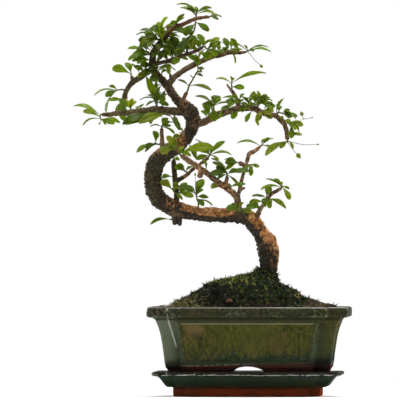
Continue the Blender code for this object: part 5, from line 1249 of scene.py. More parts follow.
def build_moss(sizes, colours):
    """A lumpy carpet over the mound with shoots all over it, and dry strands at its left."""
    plans = planting_rows(MOSS_ROWS, GAP + 1.0, MOSS_HOLE)
    centre = np.array(TRUNK_FOOT[:2])
    outer, inner = plans[0], plans[-1]
    angle = np.arctan2(outer[:, 1] - centre[1], outer[:, 0] - centre[0])
    edge = moss_edge(angle)
    right = outer[:, 0] > MOSS_BORDER_X - 3
    border = MOSS_BORDER_X + 5 * np.sin(angle * 4 + 0.6) + 2.5 * np.sin(angle * 17)
    stop = 1 - (border - centre[0]) / np.maximum(1, outer[:, 0] - centre[0])
    edge = np.where(right, np.maximum(edge, stop), edge)
    under, over = [], []
    for share in np.linspace(0, 1, MOSS_ROWS):
        blend = (edge + (1 - edge) * share)[:, None]
        plan = outer + (inner - outer) * blend
        height = soil_top(*plan.T)
        spots = level(plan, height)
        thick = MOSS_THICKNESS * (0.1 + 0.9 * smooth(share, 0.0, 0.12)) - 0.6
        lumps = grain(spots, 10.0, 17.0) * 1.8 + grain(spots, 4.6, 23.0) * 2.8
        lumps += grain(spots, 2.2, 41.0) * 1.0
        collar = 7.5 * np.exp((MOSS_HOLE - np.linalg.norm(plan - centre, axis=1)) / 2.4)
        slope = smooth(plan[:, 0], 24, 34) * (1 - smooth(plan[:, 0], 66, 76))
        rise = np.maximum(0.25, thick + lumps * smooth(share, 0.0, 0.1) + collar - 2.0 * slope)
        under.append(level(plan, height - 1.2))
        over.append(level(plan, height + rise))
    mesh = loft("moss", under + over[::-1], loop=True)
    carpet = new_object("moss_carpet", mesh)
    cover = moss_finish(colours)
    mesh.materials.append(cover)
    run_rule(carpet, moss_rule(cover), {"Shoot Length": sizes.moss_shoot,
                                        "Shoots per Area": SHOOTS_PER_AREA})
    carpet = join("moss_carpet", [carpet, new_object("litter", litter_mesh())])
    hand_over(carpet, cover, "moss", ["moss"], 60)


LITTER_SEED = 5
# Tints that tell the moss's finish what a face is
STRAW, STONE, CRUMB = 2.0, 3.0, 4.0
# Litter on the moss: what it is, how many pieces, from where to where, and how long they are
LITTER = [(STRAW, 46, -86, -40, 8.0), (STRAW, 10, -40, 34, 6.0), (STRAW, 8, 38, 62, 7.0),
          (CRUMB, 40, 56, 86, 1.3), (CRUMB, 26, -88, -70, 1.3), (CRUMB, 12, -60, 40, 1.2)]


def litter_mesh():
    """Dry strands, loose crumbs and a pebble that lie on the planting, some over the pot's lip."""
    draw = np.random.default_rng(LITTER_SEED)
    bundle, tints = Foliage(), []

    def lay(path, radii, sides, tint):
        add_tube(bundle, path, radii, sides, (0.0, 0.0))
        tints.extend([tint] * (len(bundle.points) - len(tints)))

    def ground(x, y, lift):
        lip = abs(y) > inner_half(POT_RIM_Z) - POT_DEPTH_LESS - 1.0
        moss = MOSS_THICKNESS if x < MOSS_ENDS_X else 0.0
        top = POT_RIM_Z + 0.2 if lip else float(soil_top(x, y)) + moss
        return np.array((x, y, top + lift))

    for tint, count, low, high, size in LITTER:
        for _ in range(count):
            x = draw.uniform(low, high)
            side = -1 if draw.uniform() < 0.72 else 1
            y = side * draw.uniform(0.3, 1.06) * (inner_half(POT_RIM_Z) - POT_DEPTH_LESS)
            turn = draw.uniform(0, math.tau)
            long = size * draw.uniform(0.5, 1.3)
            if tint == CRUMB:
                radius = long * 0.45
                way = np.array((math.cos(turn), math.sin(turn), 0.0)) * long * 0.4
                centre = ground(x, y, radius * 0.5)
                lay([centre - way, centre, centre + way], [radius * 0.6, radius, radius * 0.5], 6,
                    tint)
                continue
            bend = draw.uniform(-1.2, 1.2)
            path = []
            for share in np.linspace(-0.5, 0.5, 7):
                angle = turn + bend * share
                px, py = x + math.cos(angle) * long * share, y + math.sin(angle) * long * share
                path.append(ground(px, py, 0.5 + 1.6 * draw.uniform() * (1 - abs(share))))
            path = curved(path, 1.0)
            lay(path, np.full(len(path), draw.uniform(0.14, 0.26)), 5, tint)
    stone = ground(-18.0, -56.0, 0.6)
    lay([stone + (k, 0.4 * k, 0.15 * k) for k in (-3.0, -2.0, 0.0, 2.0, 2.8)],
        [1.1, 2.1, 2.6, 2.0, 0.9], 9, STONE)
    for x, y, tint in ((50, -44, STRAW), (79, -50, CRUMB), (85, -42, CRUMB), (72, -54, STRAW)):
        fork = ground(x, y, 1.0)
        for way in ((-5, -4, 4), (5.5, -3, 3.5), (0.5, 4, 5)):
            lay([fork, fork + np.array(way) * 0.5 + (0, 0, 0.4), fork + way], [0.5, 0.42, 0.25],
                6, tint)
    mesh = mesh_of("litter", bundle.points, bundle.faces)
    layer = mesh.attributes.new("tint", "FLOAT", "POINT")
    layer.data.foreach_set("value", tints)
    return mesh


def run_rule(piece, tree, values):
    """Run a geometry rule on a piece with its named inputs, and keep the plain mesh."""
    step = piece.modifiers.new(tree.name, "NODES")
    step.node_group = tree
    for item in tree.interface.items_tree:
        if item.item_type == "SOCKET" and item.name in values:
            step[item.identifier] = values[item.name]
    settle(piece)


def new_rule(name, inputs):
    """A geometry rule with its surface and numbers as named inputs."""
    group = bpy.data.node_groups.new(name, "GeometryNodeTree")
    group.is_modifier = True
    faces = group.interface
    faces.new_socket("Surface", in_out="INPUT", socket_type="NodeSocketGeometry")
    faces.new_socket("Surface", in_out="OUTPUT", socket_type="NodeSocketGeometry")
    for label, value in inputs:
        socket = faces.new_socket(label, in_out="INPUT", socket_type="NodeSocketFloat")
        socket.default_value = value
    rule = Tree(group)
    start = group.nodes.new("NodeGroupInput")
    wires = [Wire(rule, start.outputs[k]) for k in range(len(inputs) + 1)]
    return group, rule, wires


def random_wire(rule, kind, low, high, seed):
    """A random value for each point, with its own fixed seed."""
    first, output = (0, 0) if kind == "FLOAT_VECTOR" else (2, 1)
    return rule.node("FunctionNodeRandomValue", {"data_type": kind},
                     {first: low, first + 1: high, "Seed": seed}, output)


def scatter(rule, surface, shape, density, spin, size, seed):
    """Copies of a shape over a surface, square to it and then turned at random, made real."""
    points = rule.node("GeometryNodeDistributePointsOnFaces", {"distribute_method": "RANDOM"},
                       {"Mesh": surface, "Density": density, "Seed": seed}, "Points")
    turned = rule.node("FunctionNodeRotateRotation", {"rotation_space": "LOCAL"},
                       {0: points.beside("Rotation"), 1: spin})
    copies = rule.node("GeometryNodeInstanceOnPoints", None,
                       {"Points": points, "Instance": shape, "Rotation": turned, "Scale": size})
    tint = random_wire(rule, "FLOAT", 0.0, 1.0, seed + 9)
    tinted = rule.node("GeometryNodeStoreNamedAttribute",
                       {"data_type": "FLOAT", "domain": "INSTANCE"},
                       {"Geometry": copies, "Name": "tint", "Value": tint})
    return rule.node("GeometryNodeRealizeInstances", None, {0: tinted})


def end_rule(group, rule, parts, finish):
    """Join the parts of a rule, give them their finish and send them out."""
    whole = rule.node("GeometryNodeJoinGeometry")
    for part in parts:
        group.links.new(part.socket, whole.socket.node.inputs[0])
    dressed = rule.node("GeometryNodeSetMaterial", None, {"Geometry": whole, "Material": finish})
    rule.node("NodeGroupOutput", None, {0: dressed})
    return group


def facing_up(rule, low, high):
    """1 where a surface faces up and 0 where it doesn't."""
    way = rule.node("GeometryNodeInputNormal")
    return rule.node("ShaderNodeSeparateXYZ", None, {0: way}, 2).rise(low, high)


def moss_rule(finish):
    """Three-sided shoots over a carpet, long and close together in clumps."""
    group, rule, (surface, length, density) = new_rule(
        "moss shoots", [("Shoot Length", 0.0027), ("Shoots per Area", SHOOTS_PER_AREA)])
    place = rule.node("GeometryNodeInputPosition")
    clumps = rule.node("ShaderNodeTexNoise", None,
                       {"Vector": place, "Scale": 170.0, "Detail": 2.0})
    shoot = rule.node("GeometryNodeMeshCone", {"fill_type": "NGON"},
                      {"Vertices": 3, "Radius Top": 0.0, "Radius Bottom": 0.00046,
                       "Depth": length})
    spin = random_wire(rule, "FLOAT_VECTOR", (-0.75, -0.75, 0.0), (0.75, 0.75, FULL_TURN), 5)
    size = random_wire(rule, "FLOAT", 0.45, 1.25, 8) * (clumps.rise(0.3, 0.7) * 0.8 + 0.45)
    upward = facing_up(rule, -0.1, 0.2)
    short = scatter(rule, surface, shoot, density * upward, spin, size, 3)
    lean = random_wire(rule, "FLOAT_VECTOR", (-1.1, -1.1, 0.0), (1.1, 1.1, FULL_TURN), 15)
    size = random_wire(rule, "FLOAT", 1.2, 2.5, 18)
    tall = scatter(rule, surface, shoot, density * upward * clumps.rise(0.5, 0.6) * 0.25, lean,
                   size, 13)
    return end_rule(group, rule, [surface, short, tall], finish)


def crumb_rule(finish):
    """Crumbs of soil where the moss leaves it bare: round the pot's wall and at the right end."""
    group, rule, (surface, size, density) = new_rule(
        "soil crumbs", [("Crumb Size", 0.0009), ("Crumbs per Area", CRUMBS_PER_AREA)])
    place = rule.node("GeometryNodeInputPosition")
    x = rule.node("ShaderNodeSeparateXYZ", None, {0: place}, 0)
    y = rule.node("ShaderNodeSeparateXYZ", None, {0: place}, 1)
    bare = x.rise(0.05, 0.056).most(x.rise(-0.072, -0.078)).most(y.size().rise(0.05, 0.055))
    crumb = rule.node("GeometryNodeMeshIcoSphere", None, {"Radius": size, "Subdivisions": 1})
    spin = random_wire(rule, "FLOAT_VECTOR", (0.0, 0.0, 0.0), (FULL_TURN,) * 3, 2)
    shape = random_wire(rule, "FLOAT_VECTOR", (0.4, 0.4, 0.3), (1.9, 1.5, 1.3), 4)
    real = scatter(rule, surface, crumb, density * bare * facing_up(rule, 0.2, 0.4), spin, shape,
                   6)
    return end_rule(group, rule, [surface, real], finish)


# The tree's frame, limbs and leaves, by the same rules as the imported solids

def spread(point):
    """A point of the tables with its depth spread."""
    return Vector((point[0], point[1] * DEPTH_SPREAD, point[2]))


def to_world(points):
    """Millimetres in the object's frame, from rows of across, depth and height."""
    rows = np.atleast_2d(np.asarray(points, float))
    across, depth, height = rows[:, 0], rows[:, 1], rows[:, 2]
    x = across * math.cos(TREE_TURN) - depth * math.sin(TREE_TURN) + TREE_SHIFT
    y = across * math.sin(TREE_TURN) + depth * math.cos(TREE_TURN)
    return np.column_stack((x, y, height))


def limb_runs():
    """Every limb's centre line, as rows of across, depth, height and width."""
    return {name: [(*spread(row), row[3]) for row in points] for name, points in LIMBS.items()}


def nearest_on_run(run, target):
    """Nearest place on a limb's centre line: the point and its radius."""
    best = None
    for k in range(len(run) - 1):
        a, b = Vector(run[k][:3]), Vector(run[k + 1][:3])
        chord = b - a
        share = max(0.0, min(1.0, (target - a).dot(chord) / chord.length_squared))
        spot = a + chord * share
        distance = (target - spot).length
        if best is None or distance < best[0]:
            best = (distance, spot, (run[k][3] * (1 - share) + run[k + 1][3] * share) / 2)
    return best[1], best[2]


def stem_points(runs, limb, seat, points):
    """A spray's stem: it starts a hair off its limb, square to it, and follows its points."""
    run = runs[limb]
    points = [spread(point) for point in points]
    if seat == "end":
        tip = Vector(run[-1][:3])
        out = (tip - Vector(run[-2][:3])).normalized()
        base = tip + out * GAP
    else:
        spot, radius = nearest_on_run(run, points[0])
        out = (points[0] - spot).normalized()
        base = spot + out * (radius + GAP)
    return [base, base + out * 0.9] + points


def foot_on_stem(stem, across, height):
    """The point of a stem nearest to a place in the picture plane."""
    best = None
    for a, b in zip(stem[1:], stem[2:]):
        chord = Vector((b.x - a.x, b.z - a.z))
        length = max(chord.length_squared, 1e-9)
        share = max(0.0, min(1.0, Vector((across - a.x, height - a.z)).dot(chord) / length))
        spot = a.lerp(b, share)
        distance = math.hypot(spot.x - across, spot.z - height)
        if best is None or distance < best[0]:
            best = (distance, spot)
    return best[1]


@dataclass
class Leaf:
    """One blade in the tree's frame: its foot, its directions and its size."""
    foot: Vector
    along: Vector
    across: Vector
    normal: Vector
    length: float
    width: float
    arch: float

    def spot(self, share):
        """Place on the arched rib."""
        lift = self.arch * self.length * 4 * share * (1 - share)
        return self.foot + self.along * (self.length * share) + self.normal * lift

    def half_width(self, share):
        outline = float(np.interp(share, LEAF_STATIONS, LEAF_OUTLINE))
        return max(PETIOLE_WIDTH, outline * self.width) / 2

    def spots(self):
        """Places all over the blade, from near its foot to its tip."""
        rows = [self.spot(share) + self.across * (self.half_width(share) * side)
                for share in LEAF_TEST_SHARES for side in (-1.0, -0.5, 0.0, 0.5, 1.0)]
        return np.array(rows)


def make_leaf_shape(foot, tip, seen, arch):
    """A leaf from foot to tip, rolled until its face shows the width seen in the picture."""
    chord = tip - foot
    along = chord.normalized()
    rise = UP - along * UP.dot(along)
    if rise.length < 0.3:
        flat = Vector((math.copysign(1.0, -along.z * chord.x), 0, 0))
        rise = flat - along * flat.dot(along)
    rise.normalize()
    side = along.cross(rise)
    if side.y > 0:
        side = -side
    width = min(LEAF_WIDEST, max(seen, LEAF_SLENDERNESS * chord.length))
    shown = math.acos(min(1.0, max(0.0, seen - BLADE_THICKNESS) / width))
    broadside = math.atan2(side.y, rise.y)
    rolls = [broadside + turn for turn in (shown, -shown, math.pi + shown, math.pi - shown)]
    roll = max(rolls, key=lambda turn: math.cos(turn) + 0.05 * math.sin(turn))
    normal = rise * math.cos(roll) + side * math.sin(roll)
    return Leaf(foot, along, along.cross(normal), normal, chord.length, width, arch)


def distance_to_rods(spots, rods):
    """Least clearance of points from round rods."""
    start, chord, radius = rods
    reach = spots[:, None, :] - start[None]
    share = np.clip((reach * chord[None]).sum(2) / np.maximum((chord ** 2).sum(1), 1e-9), 0, 1)
    return float((np.linalg.norm(reach - chord[None] * share[..., None], axis=2) - radius).min())


def rods_from(runs):
    """Round rods along runs of points with widths: starts, chords and radii."""
    start, chord, radius = [], [], []
    for run in runs:
        for a, b in zip(run, run[1:]):
            start.append(a[:3])
            chord.append(np.array(b[:3]) - np.array(a[:3]))
            radius.append((a[3] + b[3]) / 4)
    return np.array(start), np.array(chord), np.array(radius)


def room_for(leaf, name, rods, placed):
    """Least distance of a leaf from wood, other stems and the leaves already placed."""
    spots = leaf.spots()
    room = min(distance_to_rods(spots, part) for part in rods)
    for owner, others in placed:
        if owner == name:
            near = spots[OWN_FIRST_SPOT:, None] - others[None, OWN_FIRST_SPOT:]
            slack = LEAF_CLEARANCE - OWN_LEAF_CLEARANCE
        else:
            near = spots[:, None] - others[None]
            slack = 0.0
        room = min(room, float(np.linalg.norm(near, axis=2).min()) + slack)
    return room, spots


def settle_leaves(runs):
    """Every spray's stem and leaves; a leaf that would cross another piece is bent in depth."""
    draw = np.random.default_rng(LEAF_SEED)
    wood = rods_from(runs.values())
    stems = {name: stem_points(runs, spec[0], spec[1], spec[3]) for name, spec in SPRAYS.items()}
    placed, settled = [], {}
    for name, spec in SPRAYS.items():
        others = [[(*point, 2 * STEM_RADIUS) for point in stem]
                  for other, stem in stems.items() if other != name]
        rods = (wood, rods_from(others))
        settled[name] = []
        for u0, z0, u1, z1, seen, run_in in spec[4]:
            foot = foot_on_stem(stems[name], u0, z0)
            arch = LEAF_ARCH * draw.uniform(0.8, 1.2)
            best = None
            for change in RUN_CHANGES:
                tip = Vector((u1, foot.y + run_in + change, z1))
                leaf = make_leaf_shape(foot, tip, seen, arch)
                room, spots = room_for(leaf, name, rods, placed)
                if best is None or room > best[0]:
                    best = (room, leaf, spots)
                if room >= LEAF_CLEARANCE:
                    break
            placed.append((name, best[2]))
            settled[name].append(best[1])
    return stems, settled


# Foliage

# The part of the head that a spray belongs to, where its name's first word isn't that part
FAMILIES = {"fork": "crown", "top": "crown", "middle": "right", "shoulder": "inner",
            "elbow": "low"}
# Least and most of how pointed the leaves of each colour are, and how pale they are
POINTED = {"dark": (0.05, 0.42), "bright": (0.0, 0.35), "young": (0.1, 0.4)}
TONES = {"dark": 0.31, "bright": 0.5, "young": 0.95}
TONE_SPREAD = 0.22
HABIT_SEED = 11


def curved(points, step):
    """Points and widths along a smooth curve through rows of a run."""
    rows = np.asarray(points, float)
    if len(rows) < 3:
        count = max(2, int(np.linalg.norm(rows[-1, :3] - rows[0, :3]) / step) + 1)
        share = np.linspace(0, 1, count)[:, None]
        return rows[0] * (1 - share) + rows[-1] * share
    before = np.vstack((2 * rows[0] - rows[1], rows, 2 * rows[-1] - rows[-2]))
    made = []
    for k in range(len(rows) - 1):
        p0, p1, p2, p3 = before[k:k + 4]
        count = max(1, int(np.linalg.norm(p2[:3] - p1[:3]) / step))
        for t in np.arange(count) / count:
            made.append(0.5 * (2 * p1 + (p2 - p0) * t + (2 * p0 - 5 * p1 + 4 * p2 - p3) * t ** 2
                               + (3 * p1 - 3 * p2 + p3 - p0) * t ** 3))
    made.append(rows[-1])
    return np.array(made)


def tube_rings(points, radii, sides):
    """Rings round a path that keep their turn from one point to the next, with domed ends."""
    points = np.asarray(points, float)
    ways = np.gradient(points, axis=0)
    ways /= np.linalg.norm(ways, axis=1)[:, None]
    side = Vector(ways[0]).orthogonal().normalized()
    angles = np.arange(sides) * 2 * math.pi / sides
    rings = []
    for point, way, radius in zip(points, ways, radii):
        way = Vector(way)
        side = (side - way * side.dot(way)).normalized()
        other = way.cross(side)
        circle = (np.cos(angles)[:, None] * np.array(side)
                  + np.sin(angles)[:, None] * np.array(other))
        rings.append(point + circle * radius)
    first = points[0] - ways[0] * (radii[0] * DOME_HEIGHT)
    last = points[-1] + ways[-1] * (radii[-1] * DOME_HEIGHT)
    return [first + (rings[0] - points[0]) * DOME_WIDTH, *rings,
            last + (rings[-1] - points[-1]) * DOME_WIDTH]


def blade_points(leaf, habit):
    """A fine blade: top points, then under points, with the rib pressed in and the edges down."""
    bow, fold, twist, wave, phase, taper = habit
    rows = []
    for share, outline in zip(BLADE_STATIONS, BLADE_OUTLINE):
        centre = leaf.spot(share)
        half = outline * (1 - taper * smooth(share, 0.5, 1.0)) * leaf.width / 2
        half = max(PETIOLE_WIDTH * 0.32, half)
        lean = twist * (share - 0.3)
        across = leaf.across * math.cos(lean) + leaf.normal * math.sin(lean)
        normal = leaf.normal * math.cos(lean) - leaf.across * math.sin(lean)
        centre = centre - leaf.normal * (bow * leaf.length * max(0.0, share - 0.45) ** 2)
        full = smooth(share, 0.05, 0.3)
        row = []
        for column in BLADE_COLUMNS:
            away = abs(column)
            lift = half * full * (fold * away - 0.34 * away ** 3)
            lift += half * full * wave * math.sin(share * 7.0 + phase + 1.3 * column) * away
            lift -= full * 0.16 * max(0.0, 1 - away / 0.1)
            row.append((centre + across * (half * column) + normal * lift, normal, away, full))
        rows.append(row)
    top, under = [], []
    for row in rows:
        for spot, normal, away, full in row:
            body = 0.24 + 0.2 * (1 - full) + 0.22 * max(0.0, 1 - away / 0.1) * full
            edge = 0.09 if away > 0.99 else 0.0
            top.append(spot + normal * (0.16 - edge))
            under.append(spot - normal * (body - edge))
    return top, under


def blade_faces():
    """Faces of a blade: top, under and the rim between them."""
    rows, count = len(BLADE_STATIONS), len(BLADE_COLUMNS)
    low = rows * count
    faces = []
    for r in range(rows - 1):
        for c in range(count - 1):
            a, b = r * count + c, (r + 1) * count + c
            faces.append((a, a + 1, b + 1, b))
            faces.append((low + a, low + b, low + b + 1, low + a + 1))
    rim = list(range(count))
    rim += [r * count + count - 1 for r in range(1, rows)]
    rim += [(rows - 1) * count + c for c in range(count - 2, -1, -1)]
    rim += [r * count for r in range(rows - 2, 0, -1)]
    for a, b in zip(rim, rim[1:] + rim[:1]):
        faces.append((a, low + a, low + b, b))
    return faces


@dataclass
class Foliage:
    """Points with their UV, and faces with their tints, of the sprays made into one piece."""
    points: list = field(default_factory=list)
    uv: list = field(default_factory=list)
    faces: list = field(default_factory=list)
    tints: list = field(default_factory=list)

    def add(self, points, faces, tint, uv, under_from=None):
        """Add faces that count their points from this part's own first point."""
        base = len(self.points)
        self.points += [tuple(point) for point in points]
        self.uv += uv
        for face in faces:
            self.faces.append(tuple(base + k for k in face))
            under = under_from is not None and sum(k >= under_from for k in face) * 2 > len(face)
            self.tints.append((tint[0], 1.0 if under else 0.0, tint[1]))


def add_blade(foliage, leaf, tone, habit):
    top, under = blade_points(leaf, habit)
    flat = [((column + 1) / 2, share) for share in BLADE_STATIONS for column in BLADE_COLUMNS]
    foliage.add(top + under, blade_faces(), (tone, 0.0), flat + flat, len(top))


def add_tube(foliage, rows, radii, sides, tint):
    rings = tube_rings(rows, radii, sides)
    points = np.concatenate(rings)
    foliage.add(points, skin(len(rings), sides), tint, [(0.5, 0.5)] * len(points))


def add_bud(foliage, start, spot, size, tone):
    """A thin stalk and a bud of small folded scales."""
    start, spot = spread(start), spread(spot)
    sag = Vector((0, 0, -0.06 * (spot - start).length))
    path = curved([start, (start + spot) / 2 + sag, spot], 1.2)
    add_tube(foliage, path, np.linspace(0.34, 0.26, len(path)), 6, (tone, 0.6))
    way = (spot - start).normalized()
    shares = np.linspace(0.0, 1.0, 9)
    body = [spot + way * (size * (share * 2.3 - 0.9)) for share in shares]
    radii = [max(0.12, size * 0.86 * math.sin(math.pi * share ** 0.8)) for share in shares]
    add_tube(foliage, body, radii, 10, (min(1.0, tone + 0.25), 0.25))


# Smaller leaves that fill a spray: the usual number, and sprays with more or fewer
INFILL = 3
INFILL_OTHER = {"crown_core": 8, "crown_mass": 8, "crown_left_fan": 6, "crown_layers": 5,
                "crown_young": 5, "crown_olive": 5, "crown_star": 5, "fork_tuft": 6,
                "right_near": 4, "right_middle": 4, "right_crest": 4, "right_skirt": 6,
                "right_stem": 5, "inner_end": 5, "inner_top": 5, "left_middle": 5,
                "low_left": 0, "low_right_first": 0, "left_end": 1, "left_big": 1,
                "left_broad": 2, "inner_right_tip": 1, "low_right_tip": 1, "top_right_tip": 1,
                "right_twig_top": 1, "left_green_shoot": 1, "shoulder_low": 1,
                "crown_upright": 2, "crown_tip": 1, "left_top_pair": 1, "right_end": 1,
                "left_knob_fan": 1, "top_right_fan": 1}

# Leaves along a limb between the sprays: the spray whose piece they join, the limb, its first
# and last point, their number and their lean
TUFTS = [
    ("crown_layers", "trunk", 35, 42, 20, (-0.9, 0.0, 0.2)),
    ("crown_layers", "trunk", 36, 42, 12, (0.9, 0.0, 0.1)),
    ("crown_core", "crown_right", 0, 6, 16, (0.0, 0.0, 0.1)),
    ("crown_mass", "crown_right", 2, 7, 12, (0.1, 0.0, 0.4)),
    ("crown_star", "top_right", 3, 8, 5, (0.2, 0.0, 0.2)),
    ("crown_core", "top_right", 4, 8, 8, (0.1, 0.0, 0.3)),
    ("crown_left_low", "crown_left", 0, 3, 2, (-0.3, 0.0, 0.5)),
    ("fork_tuft", "trunk", 32, 35, 6, (-0.6, 0.0, 0.0)),
    ("left_middle", "left_low", 1, 5, 8, (-0.2, 0.0, 0.3)),
    ("right_near", "right", 1, 4, 8, (0.0, 0.0, 0.5)),
    ("right_middle", "right", 3, 6, 8, (0.0, 0.0, 0.5)),
    ("right_crest", "right", 5, 8, 9, (0.2, 0.0, 0.4)),
    ("right_corner", "right", 8, 11, 3, (0.5, 0.0, 0.0)),
    ("inner_dark_end", "trunk", 22, 25, 9, (0.2, 0.0, 0.5)),
    ("inner_top", "inner", 3, 6, 5, (0.2, 0.0, 0.4)),
    ("inner_far_left", "inner_dark", 0, 3, 5, (0.3, 0.0, 0.3)),
    ("low_right_middle", "low_right", 2, 6, 5, (0.0, 0.0, 0.2)),
    ("crown_layers", "trunk", 34, 42, 12, (0.25, -0.5, 0.8)),
    ("crown_core", "trunk", 35, 41, 8, (-0.4, -0.6, 0.5)),
]

# Leaves that stand alone on a limb: the spray whose piece they join, foot, tip and width seen
LONE_LEAVES = [
    ("left_big", (-125.4, -22, 281.6), (-126, -31, 297.5), 10.5),
    ("left_broad", (-86, -16, 279.5), (-123, -23, 272), 9.0),
    ("crown_young", (-86, -7, 355), (-84, -19, 379), 4.5),
    ("crown_young", (-86.5, -7, 355), (-89.5, -18, 374), 4.0),
    ("crown_young", (-85.5, -7, 355), (-80.5, -17, 372), 3.6),
    ("crown_young", (-86, -8, 352), (-92, -19, 364), 4.0),
]
# Sprays whose leaves are paler (above 0) or darker than the others of their colour: partly their
# own tone, partly painted light and shade for how brightly each spray is lit
SHADES = {"left_broad": -0.2, "left_big": -0.2, "right_end": 0.28, "left_end": 0.15,
          "right_crest": 0.12, "right_near": 0.14, "crown_left_hang": 0.12, "elbow_right": 0.2,
          "inner_far_left": 0.15, "inner_end": 0.12, "crown_hanging": -0.12,
          "left_knob_fan": -0.15, "crown_left_low": 0.05, "right_skirt": 0.15}


def clearest(leaf_of, wood, tries=6):
    """Of a few leaves drawn at random, the one with most room from the wood."""
    return max((leaf_of() for _ in range(tries)),
               key=lambda leaf: distance_to_rods(leaf.spots()[OWN_FIRST_SPOT:], wood))


def leaf_between(leaves, draw):
    """A smaller leaf in the gap between two of a spray's own."""
    first, second = (leaves[k] for k in draw.integers(0, len(leaves), 2))
    share = draw.uniform(0.25, 0.75)
    way = first.along.lerp(second.along, share) + Vector(draw.uniform(-0.45, 0.45, 3))
    length = draw.uniform(0.55, 0.9) * min(15.0, max(first.length, second.length))
    foot = first.foot.lerp(second.foot, share)
    seen = draw.uniform(0.3, 0.56) * length
    return make_leaf_shape(foot, foot + way.normalized() * length, seen, LEAF_ARCH)


def leaf_on_limb(run, first, last, lean, draw):
    """A leaf that starts in the bark of a limb and leans the way the row says."""
    place = draw.uniform(first, last)
    start, end = run[int(place)], run[int(place) + 1]
    spot = Vector(start[:3]).lerp(Vector(end[:3]), place % 1)
    way = (Vector(lean) + Vector(draw.normal(0, 0.5, 3))).normalized()
    length = draw.uniform(10.0, 18.0)
    foot = spot + way * (start[3] * 0.45)
    seen = draw.uniform(0.22, 0.5) * length
    return make_leaf_shape(foot, foot + way * length, seen, LEAF_ARCH)


def added_leaves(name, own, runs, wood, draw):
    """A spray's leaves between its own, in tufts along a limb and alone on a limb."""
    leaves = [clearest(lambda: leaf_between(own, draw), wood)
              for _ in range(INFILL_OTHER.get(name, INFILL))]
    for owner, limb, first, last, count, lean in TUFTS:
        for _ in range(count if owner == name else 0):
            leaves.append(clearest(
                lambda: leaf_on_limb(runs[limb], first, last, lean, draw), wood, 4))
    for owner, foot, tip, seen in LONE_LEAVES:
        if owner == name:
            leaves.append(make_leaf_shape(spread(foot), spread(tip), seen, LEAF_ARCH))
    return leaves


def build_foliage(sizes, colours):
    """Leaves, stems and buds: one piece for each part of the head and each colour of leaf."""
    runs = limb_runs()
    stems, settled = settle_leaves(runs)
    wood = rods_from(runs.values())
    draw = np.random.default_rng(HABIT_SEED)
    tips = np.random.default_rng(HABIT_SEED + 1)
    groups, nodes = {}, {}
    for name, (_, _, colour, _, _) in SPRAYS.items():
        family = name.split("_")[0]
        key = (FAMILIES.get(family, family), colour)
        foliage = groups.setdefault(key, Foliage())
        nodes.setdefault(key, []).append("spray_" + name)
        stem = stems[name]
        start = stem[0] - (stem[1] - stem[0]).normalized() * 1.6
        last = stem[-1] + (stem[-1] - stem[-2]).normalized() * 1.2
        path = curved([start] + stem[1:] + [last], 1.0)
        radii = np.linspace(STEM_RADIUS, STEM_TIP_RADIUS, len(path))
        add_tube(foliage, path, radii, STEM_SIDES, (TONES[colour], 1.0))
        own = settled[name]
        for leaf in own + added_leaves(name, own, runs, wood, draw):
            tone = (TONES[colour] + SHADES.get(name, 0.0)
                    + draw.uniform(-TONE_SPREAD, TONE_SPREAD))
            habit = (draw.uniform(0.05, 0.3), draw.uniform(0.3, 0.52), draw.uniform(-0.25, 0.25),
                     draw.uniform(0.02, 0.1), draw.uniform(0, 6), tips.uniform(*POINTED[colour]))
            add_blade(foliage, leaf, tone, habit)
        for owner, begin, spot, size in BUDS:
            if owner == name:
                add_bud(foliage, begin, spot, size, TONES[colour])
    finishes = {colour: leaf_finish(colours, colour) for colour in TONES}
    for (family, colour), foliage in groups.items():
        mesh = mesh_of(f"{family}_leaves_{colour}", to_world(foliage.points), foliage.faces)
        tag(mesh, "tint", foliage.tints, "FACE")
        corners = np.empty(len(mesh.loops), np.int32)
        mesh.loops.foreach_get("vertex_index", corners)
        layer = mesh.uv_layers.new(name="blade")
        layer.data.foreach_set("uv", np.array(foliage.uv, np.float32)[corners].ravel())
        piece = new_object(f"{family}_leaves_{colour}", mesh)
        hand_over(piece, finishes[colour], "leaf_" + colour, nodes[family, colour], 50)


# Wood

BARK_SEED = 21.0
PLATE_SIZE = 4.4
LIMB_STEP = 1.1
FLARE_Z = 116

# Places where flaking bark shows warm wood, partly painted light where a place keeps to the faces
# that the light falls on: across, depth, height, reach, the way it faces (0 across, 0 depth, 0
# height is any way) and how warm it is
WARM_BARK = [
    (-58, 5, 188, 15, (0, -0.2, 1), 0.8), (-44, 5, 187, 17, (0, -0.3, 1), 1.0),
    (-28, 4, 186, 17, (0, -0.3, 1), 1.0), (-14, 4, 185, 13, (0, -0.2, 1), 0.8),
    (6, 3, 174, 16, (0.5, -0.3, 0.8), 0.9), (20, 2, 158, 17, (1, -0.4, 0.3), 1.0),
    (24, 1, 147, 14, (1, -0.5, 0), 0.9), (26, 1, 134, 15, (1, -0.3, 0), 0.6),
    (-70, -3, 257, 15, (0, 0, 0), 0.9), (-74, 2, 195, 13, (0, -1, 0), 0.5),
    (-99, 5, 222, 12, (-1, 0, 0), 0.45), (-91, 2, 244, 14, (-0.6, -0.6, 0.4), 0.42),
    (-60, -5, 262, 7, (0, 0, 0), 0.5), (-50, -12, 230, 16, (0, 0, 0), 0.5),
    (-20, -20, 208, 22, (0, 0, 0), 0.45), (-70, 0, 300, 10, (0, 0, 0), 0.4)]


def limb_rings(name, run):
    """Rings of a closed tube along a limb, about as wide as they are apart."""
    rows = curved(run, LIMB_STEP)
    widest = rows[:, 3].max()
    sides = max(8, int(math.pi * widest / LIMB_STEP / 1.3))
    flare = 1.0
    if name == "trunk":
        flare = 1 + 0.16 * np.exp(-((rows[:, 2] - FLARE_Z) / 7.0) ** 2)
    return tube_rings(rows[:, :3], rows[:, 3] / 2 * flare, sides)


